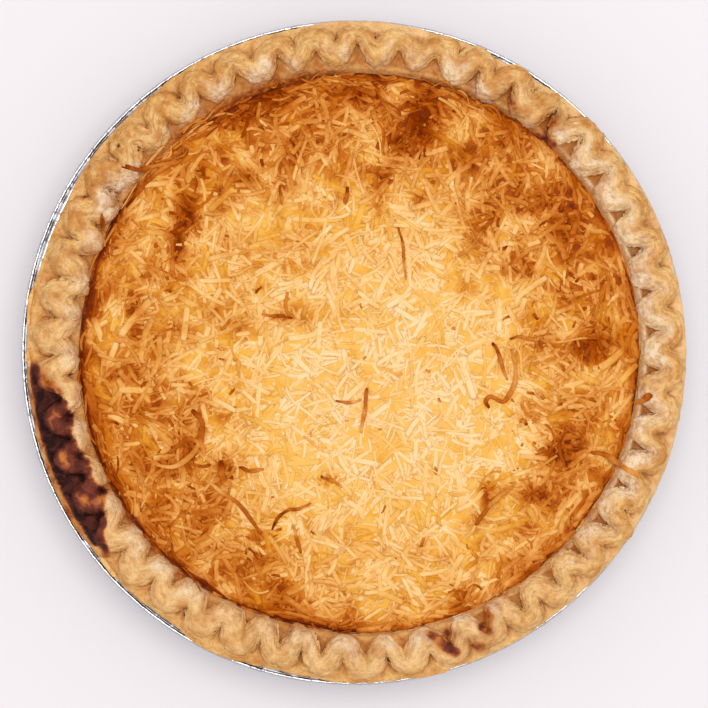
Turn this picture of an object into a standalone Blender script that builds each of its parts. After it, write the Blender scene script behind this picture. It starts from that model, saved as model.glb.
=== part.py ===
# A coconut custard pie in its pressed foil tin, at real size.
# Metres, +Z up. The origin is the middle of the tin's flat bottom, where it stands.
# Three pieces: the foil tin, the pastry shell with its crimped rim, and the
# baked custard with shreds of coconut on top.

import math
import random

import bmesh
import bpy
from mathutils import Matrix, Vector

mm = 0.001
clearance = 0.35 * mm            # left between pieces that touch

# Foil tin
tin_radius = 122.5 * mm          # to the outside of the rolled edge
tin_depth = 30.0 * mm            # floor to the flat rim
tin_base_radius = 94.5 * mm
tin_mouth_radius = 115.6 * mm    # where the wall meets the flat rim
foil = 0.4 * mm
foil_wall = 0.5 * mm             # the same foil, measured level across the sloping wall
wall_foot = 1.5 * mm             # heights between which the wall's inner face is straight
wall_top = tin_depth - 0.5 * mm
edge_roll = 0.72 * mm            # radius of the rolled edge
around = 92                      # columns round the plain parts, two to each flute

# Pastry shell. The dough sits a little to one side of the tin.
flutes = 46
columns_per_flute = 6
first_notch = math.radians(4.5)
crimp_drift = math.radians(1.3)  # the crimps run ahead on one side and behind on the other
dough_shift = Vector((2.1 * mm, 0.5 * mm, 0.0))
shell_thickness = 4.0 * mm
bump_radius = 103.4 * mm         # inner ends of the crimps
notch_depth = 7.0 * mm           # how far the inner notches cut outwards
lobe_radius = 119.8 * mm         # outer ends of the crimps
crease_depth = 5.6 * mm          # how far the outer creases cut inwards
crest_height = 39.4 * mm
lip_radius = 120.8 * mm          # the dough's flat outer lip
lip_lean = 0.5                   # share of the dough's shift that the lip has
lip_wander = 0.3 * mm            # how far the lip's edge waves in and out
lip_top = 33.0 * mm
lip_bottom = 31.3 * mm
fill_line = 30.6 * mm            # where the custard meets the wall
crimp_unevenness = 0.06

# Filling that boiled over and set hard in the outer creases
spill_middle = math.radians(198.0)
spill_half_width = math.radians(19.0)
spill_rise = 2.0 * mm

# Custard
custard_edge_height = 31.0 * mm
custard_dome = 0.6 * mm
custard_ripple = 0.22 * mm

# Coconut
shreds = 136
shred_width = 1.9 * mm
shred_rise = 0.9 * mm            # how far a shred stands out of the custard
longest_shred = 17.0 * mm
shortest_shred = 7.0 * mm
golden_angle = math.pi * (3.0 - math.sqrt(5.0))


def clear_scene():
    for thing in list(bpy.data.objects):
        bpy.data.objects.remove(thing)


def food_material(name, colour, roughness, metallic=0.0):
    material = bpy.data.materials.new(name)
    material.use_nodes = True
    shader = material.node_tree.nodes["Principled BSDF"]
    shader.inputs["Base Color"].default_value = (*colour, 1.0)
    shader.inputs["Roughness"].default_value = roughness
    shader.inputs["Metallic"].default_value = metallic
    return material


def finish_object(name, bm, material, sharp_angle=40.0):
    """Writes the bmesh to a smooth-shaded object."""
    bmesh.ops.recalc_face_normals(bm, faces=bm.faces)
    mesh = bpy.data.meshes.new(name)
    bm.to_mesh(mesh)
    bm.free()
    mesh.materials.append(material)
    mesh.shade_smooth()
    mesh.set_sharp_from_angle(angle=math.radians(sharp_angle))
    thing = bpy.data.objects.new(name, mesh)
    bpy.context.scene.collection.objects.link(thing)
    return thing


def ease(low, high, value):
    """0 below low, 1 above high, smooth between."""
    share = min(1.0, max(0.0, (value - low) / (high - low)))
    return share * share * (3.0 - 2.0 * share)


def add_ring(bm, count, point_at):
    return [bm.verts.new(point_at(2.0 * math.pi * i / count)) for i in range(count)]


def join_rings(bm, first, second):
    """Faces between two rings. One ring may have a whole number of times more points."""
    if len(first) < len(second):
        first, second = second, first
    ratio = len(first) // len(second)
    middle = ratio // 2
    for i, near in enumerate(second):
        after = second[(i + 1) % len(second)]
        fine = [first[(i * ratio + j) % len(first)] for j in range(ratio + 1)]
        for j in range(ratio):
            if j < middle:
                bm.faces.new((near, fine[j], fine[j + 1]))
            elif j > middle:
                bm.faces.new((after, fine[j], fine[j + 1]))
            else:
                bm.faces.new((near, fine[j], fine[j + 1], after))


def close_ring(bm, ring, height, shift=Vector()):
    middle = bm.verts.new(Vector((0.0, 0.0, height)) + shift)
    for i, vert in enumerate(ring):
        bm.faces.new((vert, ring[(i + 1) % len(ring)], middle))


# --- foil tin ---

def tin_inside_radius(z):
    """Radius of the foil's inner face at a height."""
    share = (z - wall_foot) / (wall_top - wall_foot)
    return tin_base_radius - foil_wall + (tin_mouth_radius - tin_base_radius) * share


def tin_profile():
    """Half section from the underside's middle round the rolled edge to the inside's middle."""
    corner = wall_foot - foil / 2
    roll_x = tin_radius - edge_roll
    roll_z = tin_depth + 0.1 * mm
    outside = [
        (0.0, 0.0),
        (tin_base_radius - corner, 0.0),
        (tin_base_radius, corner),
        (tin_mouth_radius + 0.3 * mm, tin_depth - foil / 2),
    ]
    roll = []
    for step in range(5):
        turn = math.radians(210.0 + step * 75.0)
        roll.append((roll_x + edge_roll * math.cos(turn), roll_z + edge_roll * math.sin(turn)))
    inside = [
        (tin_inside_radius(tin_depth + foil / 2), tin_depth + foil / 2),
        (tin_inside_radius(wall_foot), wall_foot),
        (tin_base_radius - corner - 0.2 * mm, foil),
        (0.0, foil),
    ]
    return outside + roll + inside


def build_tin(material):
    bm = bmesh.new()
    points = [bm.verts.new((x, 0.0, z)) for x, z in tin_profile()]
    edges = [bm.edges.new(pair) for pair in zip(points, points[1:])]
    bmesh.ops.spin(
        bm, geom=points + edges, cent=(0.0, 0.0, 0.0), axis=(0.0, 0.0, 1.0),
        angle=2.0 * math.pi, steps=around, use_merge=True,
    )
    bmesh.ops.remove_doubles(bm, verts=bm.verts, dist=0.01 * mm)
    return finish_object("foil_tin", bm, material)


# --- pastry shell ---

def wall_shift(z):
    """The dough follows the tin at the floor and moves to one side at the rim."""
    return dough_shift * ease(0.0, fill_line, z)


def crimp_table():
    """How much each crimp differs from the mean one, drawn once."""
    draw = random.Random(46)
    return [
        {
            "depth": 1.0 + draw.uniform(-1.0, 1.0) * 1.5 * crimp_unevenness,
            "reach": draw.uniform(-1.0, 1.0) * 8.0 * crimp_unevenness * mm,
            "rise": draw.uniform(-1.0, 1.0) * 9.0 * crimp_unevenness * mm,
        }
        for _ in range(flutes)
    ]


crimps = crimp_table()


def crimp_at(turn):
    """(distance from the nearest inner notch, 0 to 1, and that place's own unevenness)."""
    place = (turn - first_notch + crimp_drift * math.sin(turn)) / (2.0 * math.pi) * flutes
    nearest = round(place)
    here = crimps[nearest % flutes]
    beside = crimps[(nearest + (1 if place > nearest else -1)) % flutes]
    away = abs(place - nearest)
    mixed = {key: here[key] * (1.0 - away) + beside[key] * away for key in here}
    return 2.0 * away, mixed


def spill_at(turn):
    """1 in the middle of the boiled-over stretch, 0 away from it."""
    off = abs((turn - spill_middle + math.pi) % (2.0 * math.pi) - math.pi)
    return 1.0 - ease(0.6 * spill_half_width, spill_half_width, off)


def lip_edge(turn):
    """The outer edge of the dough's lip, seen from above."""
    radius = lip_radius + lip_wander * math.sin(5.0 * turn + 1.0)
    return Vector((radius * math.cos(turn), radius * math.sin(turn), 0.0)) + dough_shift * lip_lean


def rim_point(turn, row):
    """A point of the crimped rim. The rope of dough swings in and out: at a notch its
    inner edge lies far out, at a bump far in, and the outer edge does the same half a
    crimp later."""
    away, uneven = crimp_at(turn)
    spilt = spill_at(turn)
    depth = notch_depth * uneven["depth"] * (1.0 + 0.2 * math.cos(turn))
    crease = crease_depth * uneven["depth"] * (1.0 - 0.5 * spilt)
    crest = crest_height + uneven["rise"]
    inner = bump_radius + depth * (1.0 - away) ** 2
    outer = lobe_radius + uneven["reach"] - crease * away ** 2.4
    low = fill_line + 0.2 * mm
    rise = (row["height"] * (crest - low)) + low
    if row["side"] == "inner":
        radius = bump_radius + (inner - bump_radius) * row["grow"] + row["out"]
    elif row["side"] == "crest":
        radius = 0.5 * (inner + outer)
    else:
        radius = outer + row["out"]
        foot = lip_top + spill_rise * spilt
        rise = foot + row["height"] * (crest - foot)
    point = Vector((radius * math.cos(turn), radius * math.sin(turn), 0.0)) + dough_shift
    reach = min(point.length, lip_edge(turn).length - row.get("within", 0.0))
    return point.normalized() * reach + Vector((0.0, 0.0, rise))


# From the fill line up the inner side, over the crest and down to the lip.
rim_rows = [
    {"side": "inner", "height": 0.00, "grow": 0.00, "out": 0.1 * mm},
    {"side": "inner", "height": 0.58, "grow": 0.80, "out": 0.1 * mm},
    {"side": "inner", "height": 0.92, "grow": 1.00, "out": 1.4 * mm},
    {"side": "crest", "height": 1.00, "within": 3.0 * mm},
    {"side": "outer", "height": 0.80, "out": -1.8 * mm, "within": 2.0 * mm},
    {"side": "outer", "height": 0.38, "out": -0.4 * mm, "within": 0.9 * mm},
    {"side": "outer", "height": 0.00, "out": 0.4 * mm, "within": 0.4 * mm},
]


def build_crust(material):
    bm = bmesh.new()
    fine = flutes * columns_per_flute
    rings = [add_ring(bm, fine, lambda t, row=row: rim_point(t, row)) for row in rim_rows]
    for lower, upper in zip(rings, rings[1:]):
        join_rings(bm, lower, upper)

    def plain(radius, z, shift=Vector()):
        return add_ring(
            bm, around,
            lambda t: Vector((radius * math.cos(t), radius * math.sin(t), z)) + shift,
        )

    # From the rim's outer foot over the lip, down the tin's wall and across the floor.
    floor = foil + clearance
    gap = clearance + 0.1 * mm
    lip_height = Vector((0.0, 0.0, lip_top - 0.3 * mm))
    outside = [
        rings[-1],
        add_ring(bm, around, lambda t: lip_edge(t) + lip_height),
        plain(lip_radius - 0.6 * mm, lip_bottom, dough_shift * lip_lean),
        plain(tin_mouth_radius, tin_depth + foil + clearance + 0.1 * mm),
        plain(tin_inside_radius(wall_top - 1.0 * mm) - gap, wall_top - 1.0 * mm),
        plain(tin_inside_radius(wall_foot + 0.5 * mm) - gap, wall_foot + 0.5 * mm),
        plain(tin_base_radius - 2.6 * mm, floor),
    ]
    for lower, upper in zip(outside, outside[1:]):
        join_rings(bm, lower, upper)
    close_ring(bm, outside[-1], floor)

    # From the fill line down the inside to the shell's floor.
    inner_floor = floor + shell_thickness
    inside_low = plain(inside_radius(inner_floor), inner_floor, wall_shift(inner_floor))
    join_rings(bm, rings[0], inside_low)
    close_ring(bm, inside_low, inner_floor, wall_shift(inner_floor))
    return finish_object("pastry_crust", bm, material, 55.0)


def inside_radius(z):
    """Inner face of the shell below the fill line: straight from the floor's edge to the rim."""
    low_z = foil + clearance + shell_thickness
    low_radius = tin_inside_radius(low_z) - shell_thickness - 1.0 * mm
    share = (z - low_z) / (fill_line - low_z)
    return low_radius + (bump_radius + 0.1 * mm - low_radius) * share


# --- custard with coconut ---

def custard_top(x, y):
    """Height of the baked surface: a slight dome with slow ripples, level at the edge."""
    radius = math.hypot(x, y) / bump_radius
    inside = 1.0 - min(1.0, radius) ** 2
    ripple = math.sin(x / (13.0 * mm) + 0.7) * math.cos(y / (17.0 * mm) - 0.4)
    return custard_edge_height + inside * (custard_dome + custard_ripple * ripple)


def build_custard_body(material):
    bm = bmesh.new()
    edge = bump_radius - clearance - 0.1 * mm
    low_z = foil + 2.0 * clearance + shell_thickness
    low_radius = inside_radius(low_z) - clearance - 0.2 * mm

    def top_ring(share):
        radius = edge * share

        def place(t):
            x = radius * math.cos(t)
            y = radius * math.sin(t)
            return Vector((x, y, custard_top(x, y))) + dough_shift
        return add_ring(bm, around, place)

    rings = [top_ring(share) for share in (0.34, 0.67, 0.9, 1.0)]
    join_rings(bm, rings[0], rings[1])
    join_rings(bm, rings[1], rings[2])
    join_rings(bm, rings[2], rings[3])
    close_ring(bm, rings[0], custard_top(0.0, 0.0), dough_shift)
    low_shift = wall_shift(low_z)
    low = add_ring(
        bm, around,
        lambda t: Vector((low_radius * math.cos(t), low_radius * math.sin(t), low_z)) + low_shift,
    )
    join_rings(bm, rings[3], low)
    close_ring(bm, low, low_z, low_shift)
    return finish_object("custard_filling", bm, material, 50.0)


def build_shred(name, length, bend, lift):
    """A flat strip of coconut along X, bowed sideways by bend and arched by lift."""
    bm = bmesh.new()
    stations = 4
    sections = []
    for i in range(stations):
        share = 2.0 * i / (stations - 1) - 1.0
        along = 0.5 * length * share
        side = bend * (1.0 - share * share)
        arch = lift * (1.0 - share * share)
        narrow = 0.5 * shred_width * (1.0 - 0.35 * share * share)
        corners = (
            (side - narrow, -shred_rise),
            (side + narrow, -shred_rise),
            (side + 0.75 * narrow, shred_rise + arch),
            (side - 0.75 * narrow, shred_rise + arch),
        )
        sections.append([bm.verts.new((along, y, z)) for y, z in corners])
    for one, other in zip(sections, sections[1:]):
        for i in range(4):
            j = (i + 1) % 4
            bm.faces.new((one[i], one[j], other[j], other[i]))
    bm.faces.new(sections[0])
    bm.faces.new(reversed(sections[-1]))
    bmesh.ops.recalc_face_normals(bm, faces=bm.faces)
    mesh = bpy.data.meshes.new(name)
    bm.to_mesh(mesh)
    bm.free()
    return bpy.data.objects.new(name, mesh)


def scatter_coconut(collection):
    """Longest shreds first, spread evenly by the golden angle, each turned at random."""
    draw = random.Random(7)
    reach = bump_radius - 6.0 * mm
    for i in range(shreds):
        length = longest_shred + (shortest_shred - longest_shred) * i / (shreds - 1)
        out = (reach - 0.5 * length) * math.sqrt(((i * 37) % shreds + 0.5) / shreds)
        turn = ((i * 37) % shreds) * golden_angle
        x = out * math.cos(turn)
        y = out * math.sin(turn)
        bend = draw.uniform(-0.16, 0.16) * length
        shred = build_shred(f"shred_{i:03d}", length, bend, draw.uniform(0.0, 0.5) * mm)
        place = Vector((x, y, custard_top(x, y))) + dough_shift
        heading = Matrix.Rotation(draw.uniform(0.0, math.pi), 4, "Z")
        shred.matrix_world = Matrix.Translation(place) @ heading
        collection.objects.link(shred)


def build_custard(material):
    """The custard and its coconut are one body, joined by one union."""
    custard = build_custard_body(material)
    collection = bpy.data.collections.new("coconut")
    bpy.context.scene.collection.children.link(collection)
    scatter_coconut(collection)
    bpy.context.view_layer.update()
    union = custard.modifiers.new("coconut_union", "BOOLEAN")
    union.operation = "UNION"
    union.operand_type = "COLLECTION"
    union.collection = collection
    union.solver = "EXACT"
    graph = bpy.context.evaluated_depsgraph_get()
    joined = bpy.data.meshes.new_from_object(custard.evaluated_get(graph))
    custard.modifiers.remove(union)
    custard.data = joined
    for shred in list(collection.objects):
        bpy.data.objects.remove(shred)
    bpy.data.collections.remove(collection)
    return custard


def main():
    clear_scene()
    aluminium = food_material("aluminium_foil", (0.80, 0.80, 0.81), 0.28, 1.0)
    pastry = food_material("baked_pastry", (0.72, 0.46, 0.22), 0.75)
    custard = food_material("coconut_custard", (0.90, 0.62, 0.22), 0.45)
    build_tin(aluminium)
    build_crust(pastry)
    build_custard(custard)


main()
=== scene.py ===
import math

import bpy
import numpy as np
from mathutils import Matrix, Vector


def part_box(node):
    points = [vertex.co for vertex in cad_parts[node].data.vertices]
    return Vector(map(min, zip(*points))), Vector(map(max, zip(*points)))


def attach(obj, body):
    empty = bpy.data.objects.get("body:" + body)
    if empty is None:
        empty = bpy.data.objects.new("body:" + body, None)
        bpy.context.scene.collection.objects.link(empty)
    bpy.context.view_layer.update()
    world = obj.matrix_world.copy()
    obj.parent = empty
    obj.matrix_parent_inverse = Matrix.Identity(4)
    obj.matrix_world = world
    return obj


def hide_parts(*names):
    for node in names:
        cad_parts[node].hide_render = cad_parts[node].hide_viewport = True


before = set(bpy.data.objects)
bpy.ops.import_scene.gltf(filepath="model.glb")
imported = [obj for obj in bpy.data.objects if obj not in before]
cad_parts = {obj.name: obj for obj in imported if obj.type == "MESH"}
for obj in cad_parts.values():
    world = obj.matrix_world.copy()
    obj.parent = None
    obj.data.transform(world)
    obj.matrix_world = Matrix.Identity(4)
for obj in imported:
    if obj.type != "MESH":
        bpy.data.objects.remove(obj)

# A coconut custard pie seen from straight above: foil tin, crimped pastry, custard and
# toasted coconut. Sizes are in millimetres until a mesh is made, and angles run
# anticlockwise from +X. The origin is the middle of the tin's flat bottom.
mm = 0.001
fullTurn = 2 * np.pi
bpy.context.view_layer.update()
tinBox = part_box("foil_tin")
tinRadius = tinBox[1].x / mm
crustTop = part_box("pastry_crust")[1].z / mm


def ease(low, high, value):
    # 0 below low, 1 above high, smooth between
    share = np.clip((value - low) / (high - low), 0, 1)
    return share * share * (3 - 2 * share)


def noise(x, y, z, seed):
    # smooth lattice noise from -1 to 1: random values at whole-number places, blended
    # with the quintic fade 6t^5 - 15t^4 + 10t^3 between them
    table = np.random.default_rng(seed).uniform(-1, 1, 4096)
    x, y, z = np.broadcast_arrays(x, y, z)
    wholes = [np.floor(part).astype(np.int64) for part in (x, y, z)]
    fades = []
    for part, whole in zip((x, y, z), wholes):
        t = part - whole
        fades.append(t * t * t * (t * (6 * t - 15) + 10))
    total = np.zeros(x.shape)
    for corner in range(8):
        steps = [(corner >> axis) & 1 for axis in range(3)]
        key = (wholes[0] + steps[0]) * 73856093
        key = key ^ (wholes[1] + steps[1]) * 19349663
        key = key ^ (wholes[2] + steps[2]) * 83492791
        weight = np.ones(x.shape)
        for fade, step in zip(fades, steps):
            weight = weight * (fade if step else 1 - fade)
        total += weight * table[key & 4095]
    return total


def cloud(x, y, z, seed, octaves=3):
    # noise summed over octaves, each half as large and twice as fine
    total = 0.0
    for octave in range(octaves):
        fine = 2.0 ** octave
        total = total + noise(x * fine, y * fine, z * fine, seed + 17 * octave) / fine
    return total


def swing(turn, mean, east, north=0.0, oval=0.0):
    # mean + east cos(turn) + north sin(turn) + oval cos(2 turn)
    return mean + east * np.cos(turn) + north * np.sin(turn) + oval * np.cos(2 * turn)


def evenTurns(count, start=0.0):
    # angles of count even steps round the circle, the first of them start steps on
    return (np.arange(count) + start) / count * fullTurn


def polar(radius, turn):
    # x = radius cos(turn) and y = radius sin(turn)
    return radius * np.cos(turn), radius * np.sin(turn)


def ringCloud(turn, size, height, seed, octaves=3):
    # the cloud read round a circle of that size, so that it meets itself again
    return cloud(*polar(size, turn), height, seed, octaves)


def facing(turn, degrees):
    # 1 on the side that lies that way, -1 on the opposite one: cos(turn - degrees)
    return np.cos(turn - math.radians(degrees))


def addBulges(turn, bulges, power=4):
    # sum of more exp(-(distance / half width)^power), distances in degrees of turn
    total = np.zeros_like(turn)
    for degrees, reach, more in bulges:
        away = np.angle(np.exp(1j * (turn - math.radians(degrees))), deg=True)
        total = total + more * np.exp(-(away / reach) ** power)
    return total


def gridNormals(points):
    # cross product of the two grid directions, the first of which is a closed loop
    along = np.roll(points, -1, 0) - np.roll(points, 1, 0)
    across = np.gradient(points, axis=1)
    normal = np.cross(along, across)
    return normal / np.maximum(np.linalg.norm(normal, axis=2, keepdims=True), 1e-9)


def gridFaces(columns, rows, flip=False):
    # quads of a grid whose columns close into a ring
    column, row = np.meshgrid(np.arange(columns), np.arange(rows - 1), indexing="ij")
    here = column * rows + row
    beside = (column + 1) % columns * rows + row
    quads = np.stack([here, beside, beside + 1, here + 1], -1).reshape(-1, 4)
    return quads[:, ::-1] if flip else quads


def fanFaces(columns, rows, row, middle, flip=False):
    # triangles from one row of the grid to a middle point
    here = np.arange(columns) * rows + row
    beside = np.roll(here, -1)
    third = np.full(columns, middle)
    triangles = np.stack([here, beside, third], -1)
    return triangles[:, ::-1] if flip else triangles


def closedRing(points, first, last, flip=False):
    # points and faces of a grid that goes round the middle, closed by a fan from its first
    # row to the point first and by one from its last row to the point last
    columns, rows = points.shape[:2]
    middle = columns * rows
    faces = [gridFaces(columns, rows, flip), fanFaces(columns, rows, 0, middle, not flip),
             fanFaces(columns, rows, rows - 1, middle + 1, flip)]
    return np.vstack([points.reshape(-1, 3), [first], [last]]), faces


def shredArrays(middle, heading, length, width, thickness, bend, twist, tilt, stations, sides):
    # flat rods: along u from -1 to 1 the centre line is a shallow bow, x = length u / 2
    # and y = bend (1 - u^2) + twist (u^3 - u), and the section is a low dome with sloping
    # skirts, (cos^0.75, sin - 0.6 cos^2), a little narrower at the blunt ends
    column = lambda part: np.asarray(part)[:, None, None]
    half, bend, twist, heading = (column(part) for part in (0.5 * length, bend, twist, heading))
    u = np.sin(np.linspace(-0.5 * np.pi, 0.5 * np.pi, stations))[None, :, None]
    cosTurn, sinTurn = polar(1.0, evenTurns(sides, 0.5))
    narrow = 1 - 0.22 * u ** 8
    squared = np.sign(cosTurn) * np.abs(cosTurn) ** 0.75
    across = 0.5 * column(width) * narrow * squared
    up = 0.5 * column(thickness) * narrow * (sinTurn - 0.6 * cosTurn ** 2)
    along = half * u
    side = bend * (1 - u * u) + twist * (u ** 3 - u)
    slope = (-2 * bend * u + twist * (3 * u * u - 1)) / half
    stretch = np.sqrt(1 + slope * slope)
    localX = along - across * slope / stretch
    localY = side + across / stretch
    c, s = np.cos(heading), np.sin(heading)
    x = column(middle[0]) + localX * c - localY * s
    y = column(middle[1]) + localX * s + localY * c
    z = column(middle[2]) + (up + along * column(tilt))
    return np.stack([x, y, z], -1)


def shredFaces(count, stations, sides, flip=False):
    # quads round each rod and one many-sided face on each end
    base = (np.arange(count) * stations * sides)[:, None, None]
    station = (np.arange(stations - 1) * sides)[None, :, None]
    side = np.arange(sides)[None, None, :]
    here = base + station + side
    beside = base + station + (side + 1) % sides
    quads = np.stack([here, beside, beside + sides, here + sides], -1).reshape(-1, 4)
    first = base[:, 0] + np.arange(sides)[None, :]
    faces = [quads, first[:, ::-1], first + (stations - 1) * sides]
    return [face[:, ::-1] for face in faces] if flip else faces


def makePiece(name, points, faceLists, material, values, replaced=None, flat=None):
    # a mesh object from millimetre points, with its point attributes, riding on the root.
    # flat marks the faces that aren't shaded smooth.
    mesh = bpy.data.meshes.new(name)
    faces = [corners for faceList in faceLists for corners in faceList.tolist()]
    mesh.from_pydata((np.asarray(points).reshape(-1, 3) * mm).tolist(), [], faces)
    for label, numbers in values.items():
        kind, field = ("FLOAT_VECTOR", "vector") if np.ndim(numbers) == 2 else ("FLOAT", "value")
        attribute = mesh.attributes.new(label, kind, "POINT")
        attribute.data.foreach_set(field, np.asarray(numbers, np.float32).ravel())
    mesh.materials.append(material)
    mesh.shade_smooth()
    if flat is not None:
        mesh.polygons.foreach_set("use_smooth", ~flat)
    mesh.update()
    piece = bpy.data.objects.new(name, mesh)
    bpy.context.scene.collection.objects.link(piece)
    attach(piece, "root")
    if replaced:
        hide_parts(replaced)
    print(f"{name}: {len(mesh.vertices)} points, {len(mesh.polygons)} faces")


def srgb(red, green, blue):
    # a colour given as 0 to 255, made linear
    share = np.array([red, green, blue]) / 255
    linear = np.where(share <= 0.04045, share / 12.92, ((share + 0.055) / 1.055) ** 2.4)
    return (*linear.tolist(), 1.0)


def feed(tree, node, inputs):
    # gives each input of a node a socket to read or a plain value
    for label, value in inputs.items():
        if isinstance(value, bpy.types.NodeSocket):
            tree.links.new(value, node.inputs[label])
        else:
            node.inputs[label].default_value = value
    return node


def newMaterial(name, inputs):
    material = bpy.data.materials.new(name)
    material.use_nodes = True
    tree = material.node_tree
    shader = feed(tree, tree.nodes["Principled BSDF"], inputs)
    return material, tree, shader


def objectPlace(tree):
    return tree.nodes.new("ShaderNodeTexCoord").outputs["Object"]


def attributeNode(tree, name, output="Fac"):
    # a point attribute of the piece
    node = tree.nodes.new("ShaderNodeAttribute")
    node.attribute_name = name
    return node.outputs[output]


def mathNode(tree, operation, *values, clamp=False):
    node = tree.nodes.new("ShaderNodeMath")
    node.operation = operation
    node.use_clamp = clamp
    return feed(tree, node, dict(enumerate(values))).outputs[0]


def mixColours(tree, factor, first, second):
    # the colours are sockets, or given as 0 to 255
    first, second = (srgb(*side) if isinstance(side, tuple) else side for side in (first, second))
    node = tree.nodes.new("ShaderNodeMix")
    node.data_type = "RGBA"
    return feed(tree, node, {0: factor, 6: first, 7: second}).outputs[2]


def rampNode(tree, factor, stops):
    # each stop is a position and a colour given as 0 to 255
    node = feed(tree, tree.nodes.new("ShaderNodeValToRGB"), {"Fac": factor})
    elements = node.color_ramp.elements
    while len(elements) < len(stops):
        elements.new(0.5)
    for element, (position, *colour) in zip(elements, stops):
        element.position = position
        element.color = srgb(*colour)
    return node.outputs["Color"]


def grainNode(tree, place, size, detail, distortion=0.0):
    # noise with features of a size in millimetres
    scale = mathNode(tree, "DIVIDE", 1000.0, size)
    node = tree.nodes.new("ShaderNodeTexNoise")
    inputs = {"Vector": place, "Scale": scale, "Detail": detail, "Distortion": distortion}
    return feed(tree, node, inputs).outputs["Fac"]


def makeGroup(name, inputs, output, kind, fill):
    # a shared group with a place and named values, whose one output is what fill builds
    group = bpy.data.node_groups.new(name, "ShaderNodeTree")
    face = group.interface
    face.new_socket("Place", in_out="INPUT", socket_type="NodeSocketVector")
    for label, value in inputs.items():
        socket = face.new_socket(label, in_out="INPUT", socket_type="NodeSocketFloat")
        socket.default_value = value
    face.new_socket(output, in_out="OUTPUT", socket_type=kind)
    entry = group.nodes.new("NodeGroupInput").outputs
    leave = group.nodes.new("NodeGroupOutput")
    group.links.new(fill(group, entry), leave.inputs[output])


def fillMottle(tree, entry):
    # a mask: noise stretched to a contrast
    grain = grainNode(tree, entry["Place"], entry["Size"], 4.0, entry["Distortion"])
    node = tree.nodes.new("ShaderNodeMapRange")
    node.interpolation_type = "SMOOTHSTEP"
    inputs = {"Value": grain, "From Min": entry["Low"], "From Max": entry["High"]}
    return feed(tree, node, inputs).outputs["Result"]


def fillRoughSkin(tree, entry):
    # a bumped normal: coarse noise + 0.45 fine noise
    coarse, fine = (grainNode(tree, entry["Place"], entry[size], 3.0) for size in ("Coarse", "Fine"))
    height = mathNode(tree, "MULTIPLY_ADD", fine, 0.45, coarse)
    depth = mathNode(tree, "MULTIPLY", entry["Depth"], mm)
    inputs = {"Height": height, "Strength": entry["Strength"], "Distance": depth}
    return feed(tree, tree.nodes.new("ShaderNodeBump"), inputs).outputs["Normal"]


def fillThinLines(tree, entry):
    # a mask of thin wandering lines, where a noise crosses its middle value
    grain = grainNode(tree, entry["Place"], entry["Size"], 3.0)
    away = mathNode(tree, "ABSOLUTE", mathNode(tree, "SUBTRACT", grain, 0.5))
    share = mathNode(tree, "DIVIDE", away, entry["Width"], clamp=True)
    return mathNode(tree, "SUBTRACT", 1.0, share, clamp=True)


makeGroup("Mottle", {"Size": 5.0, "Low": 0.35, "High": 0.65, "Distortion": 0.0},
          "Mask", "NodeSocketFloat", fillMottle)
makeGroup("ThinLines", {"Size": 5.0, "Width": 0.02}, "Mask", "NodeSocketFloat", fillThinLines)
makeGroup("RoughSkin", {"Coarse": 2.0, "Fine": 0.5, "Strength": 0.5, "Depth": 0.3},
          "Normal", "NodeSocketVector", fillRoughSkin)


def groupNode(tree, name, place, **values):
    # one of the shared groups with its place and its own values
    node = tree.nodes.new("ShaderNodeGroup")
    node.node_tree = bpy.data.node_groups[name]
    return feed(tree, node, {"Place": place, **values}).outputs[0]


def mottled(tree, value, place, amount, less, **look):
    # value + amount x Mottle - less, kept from 0 to 1
    more = mathNode(tree, "MULTIPLY_ADD", groupNode(tree, "Mottle", place, **look), amount, value)
    return mathNode(tree, "SUBTRACT", more, less, clamp=True)


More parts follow.
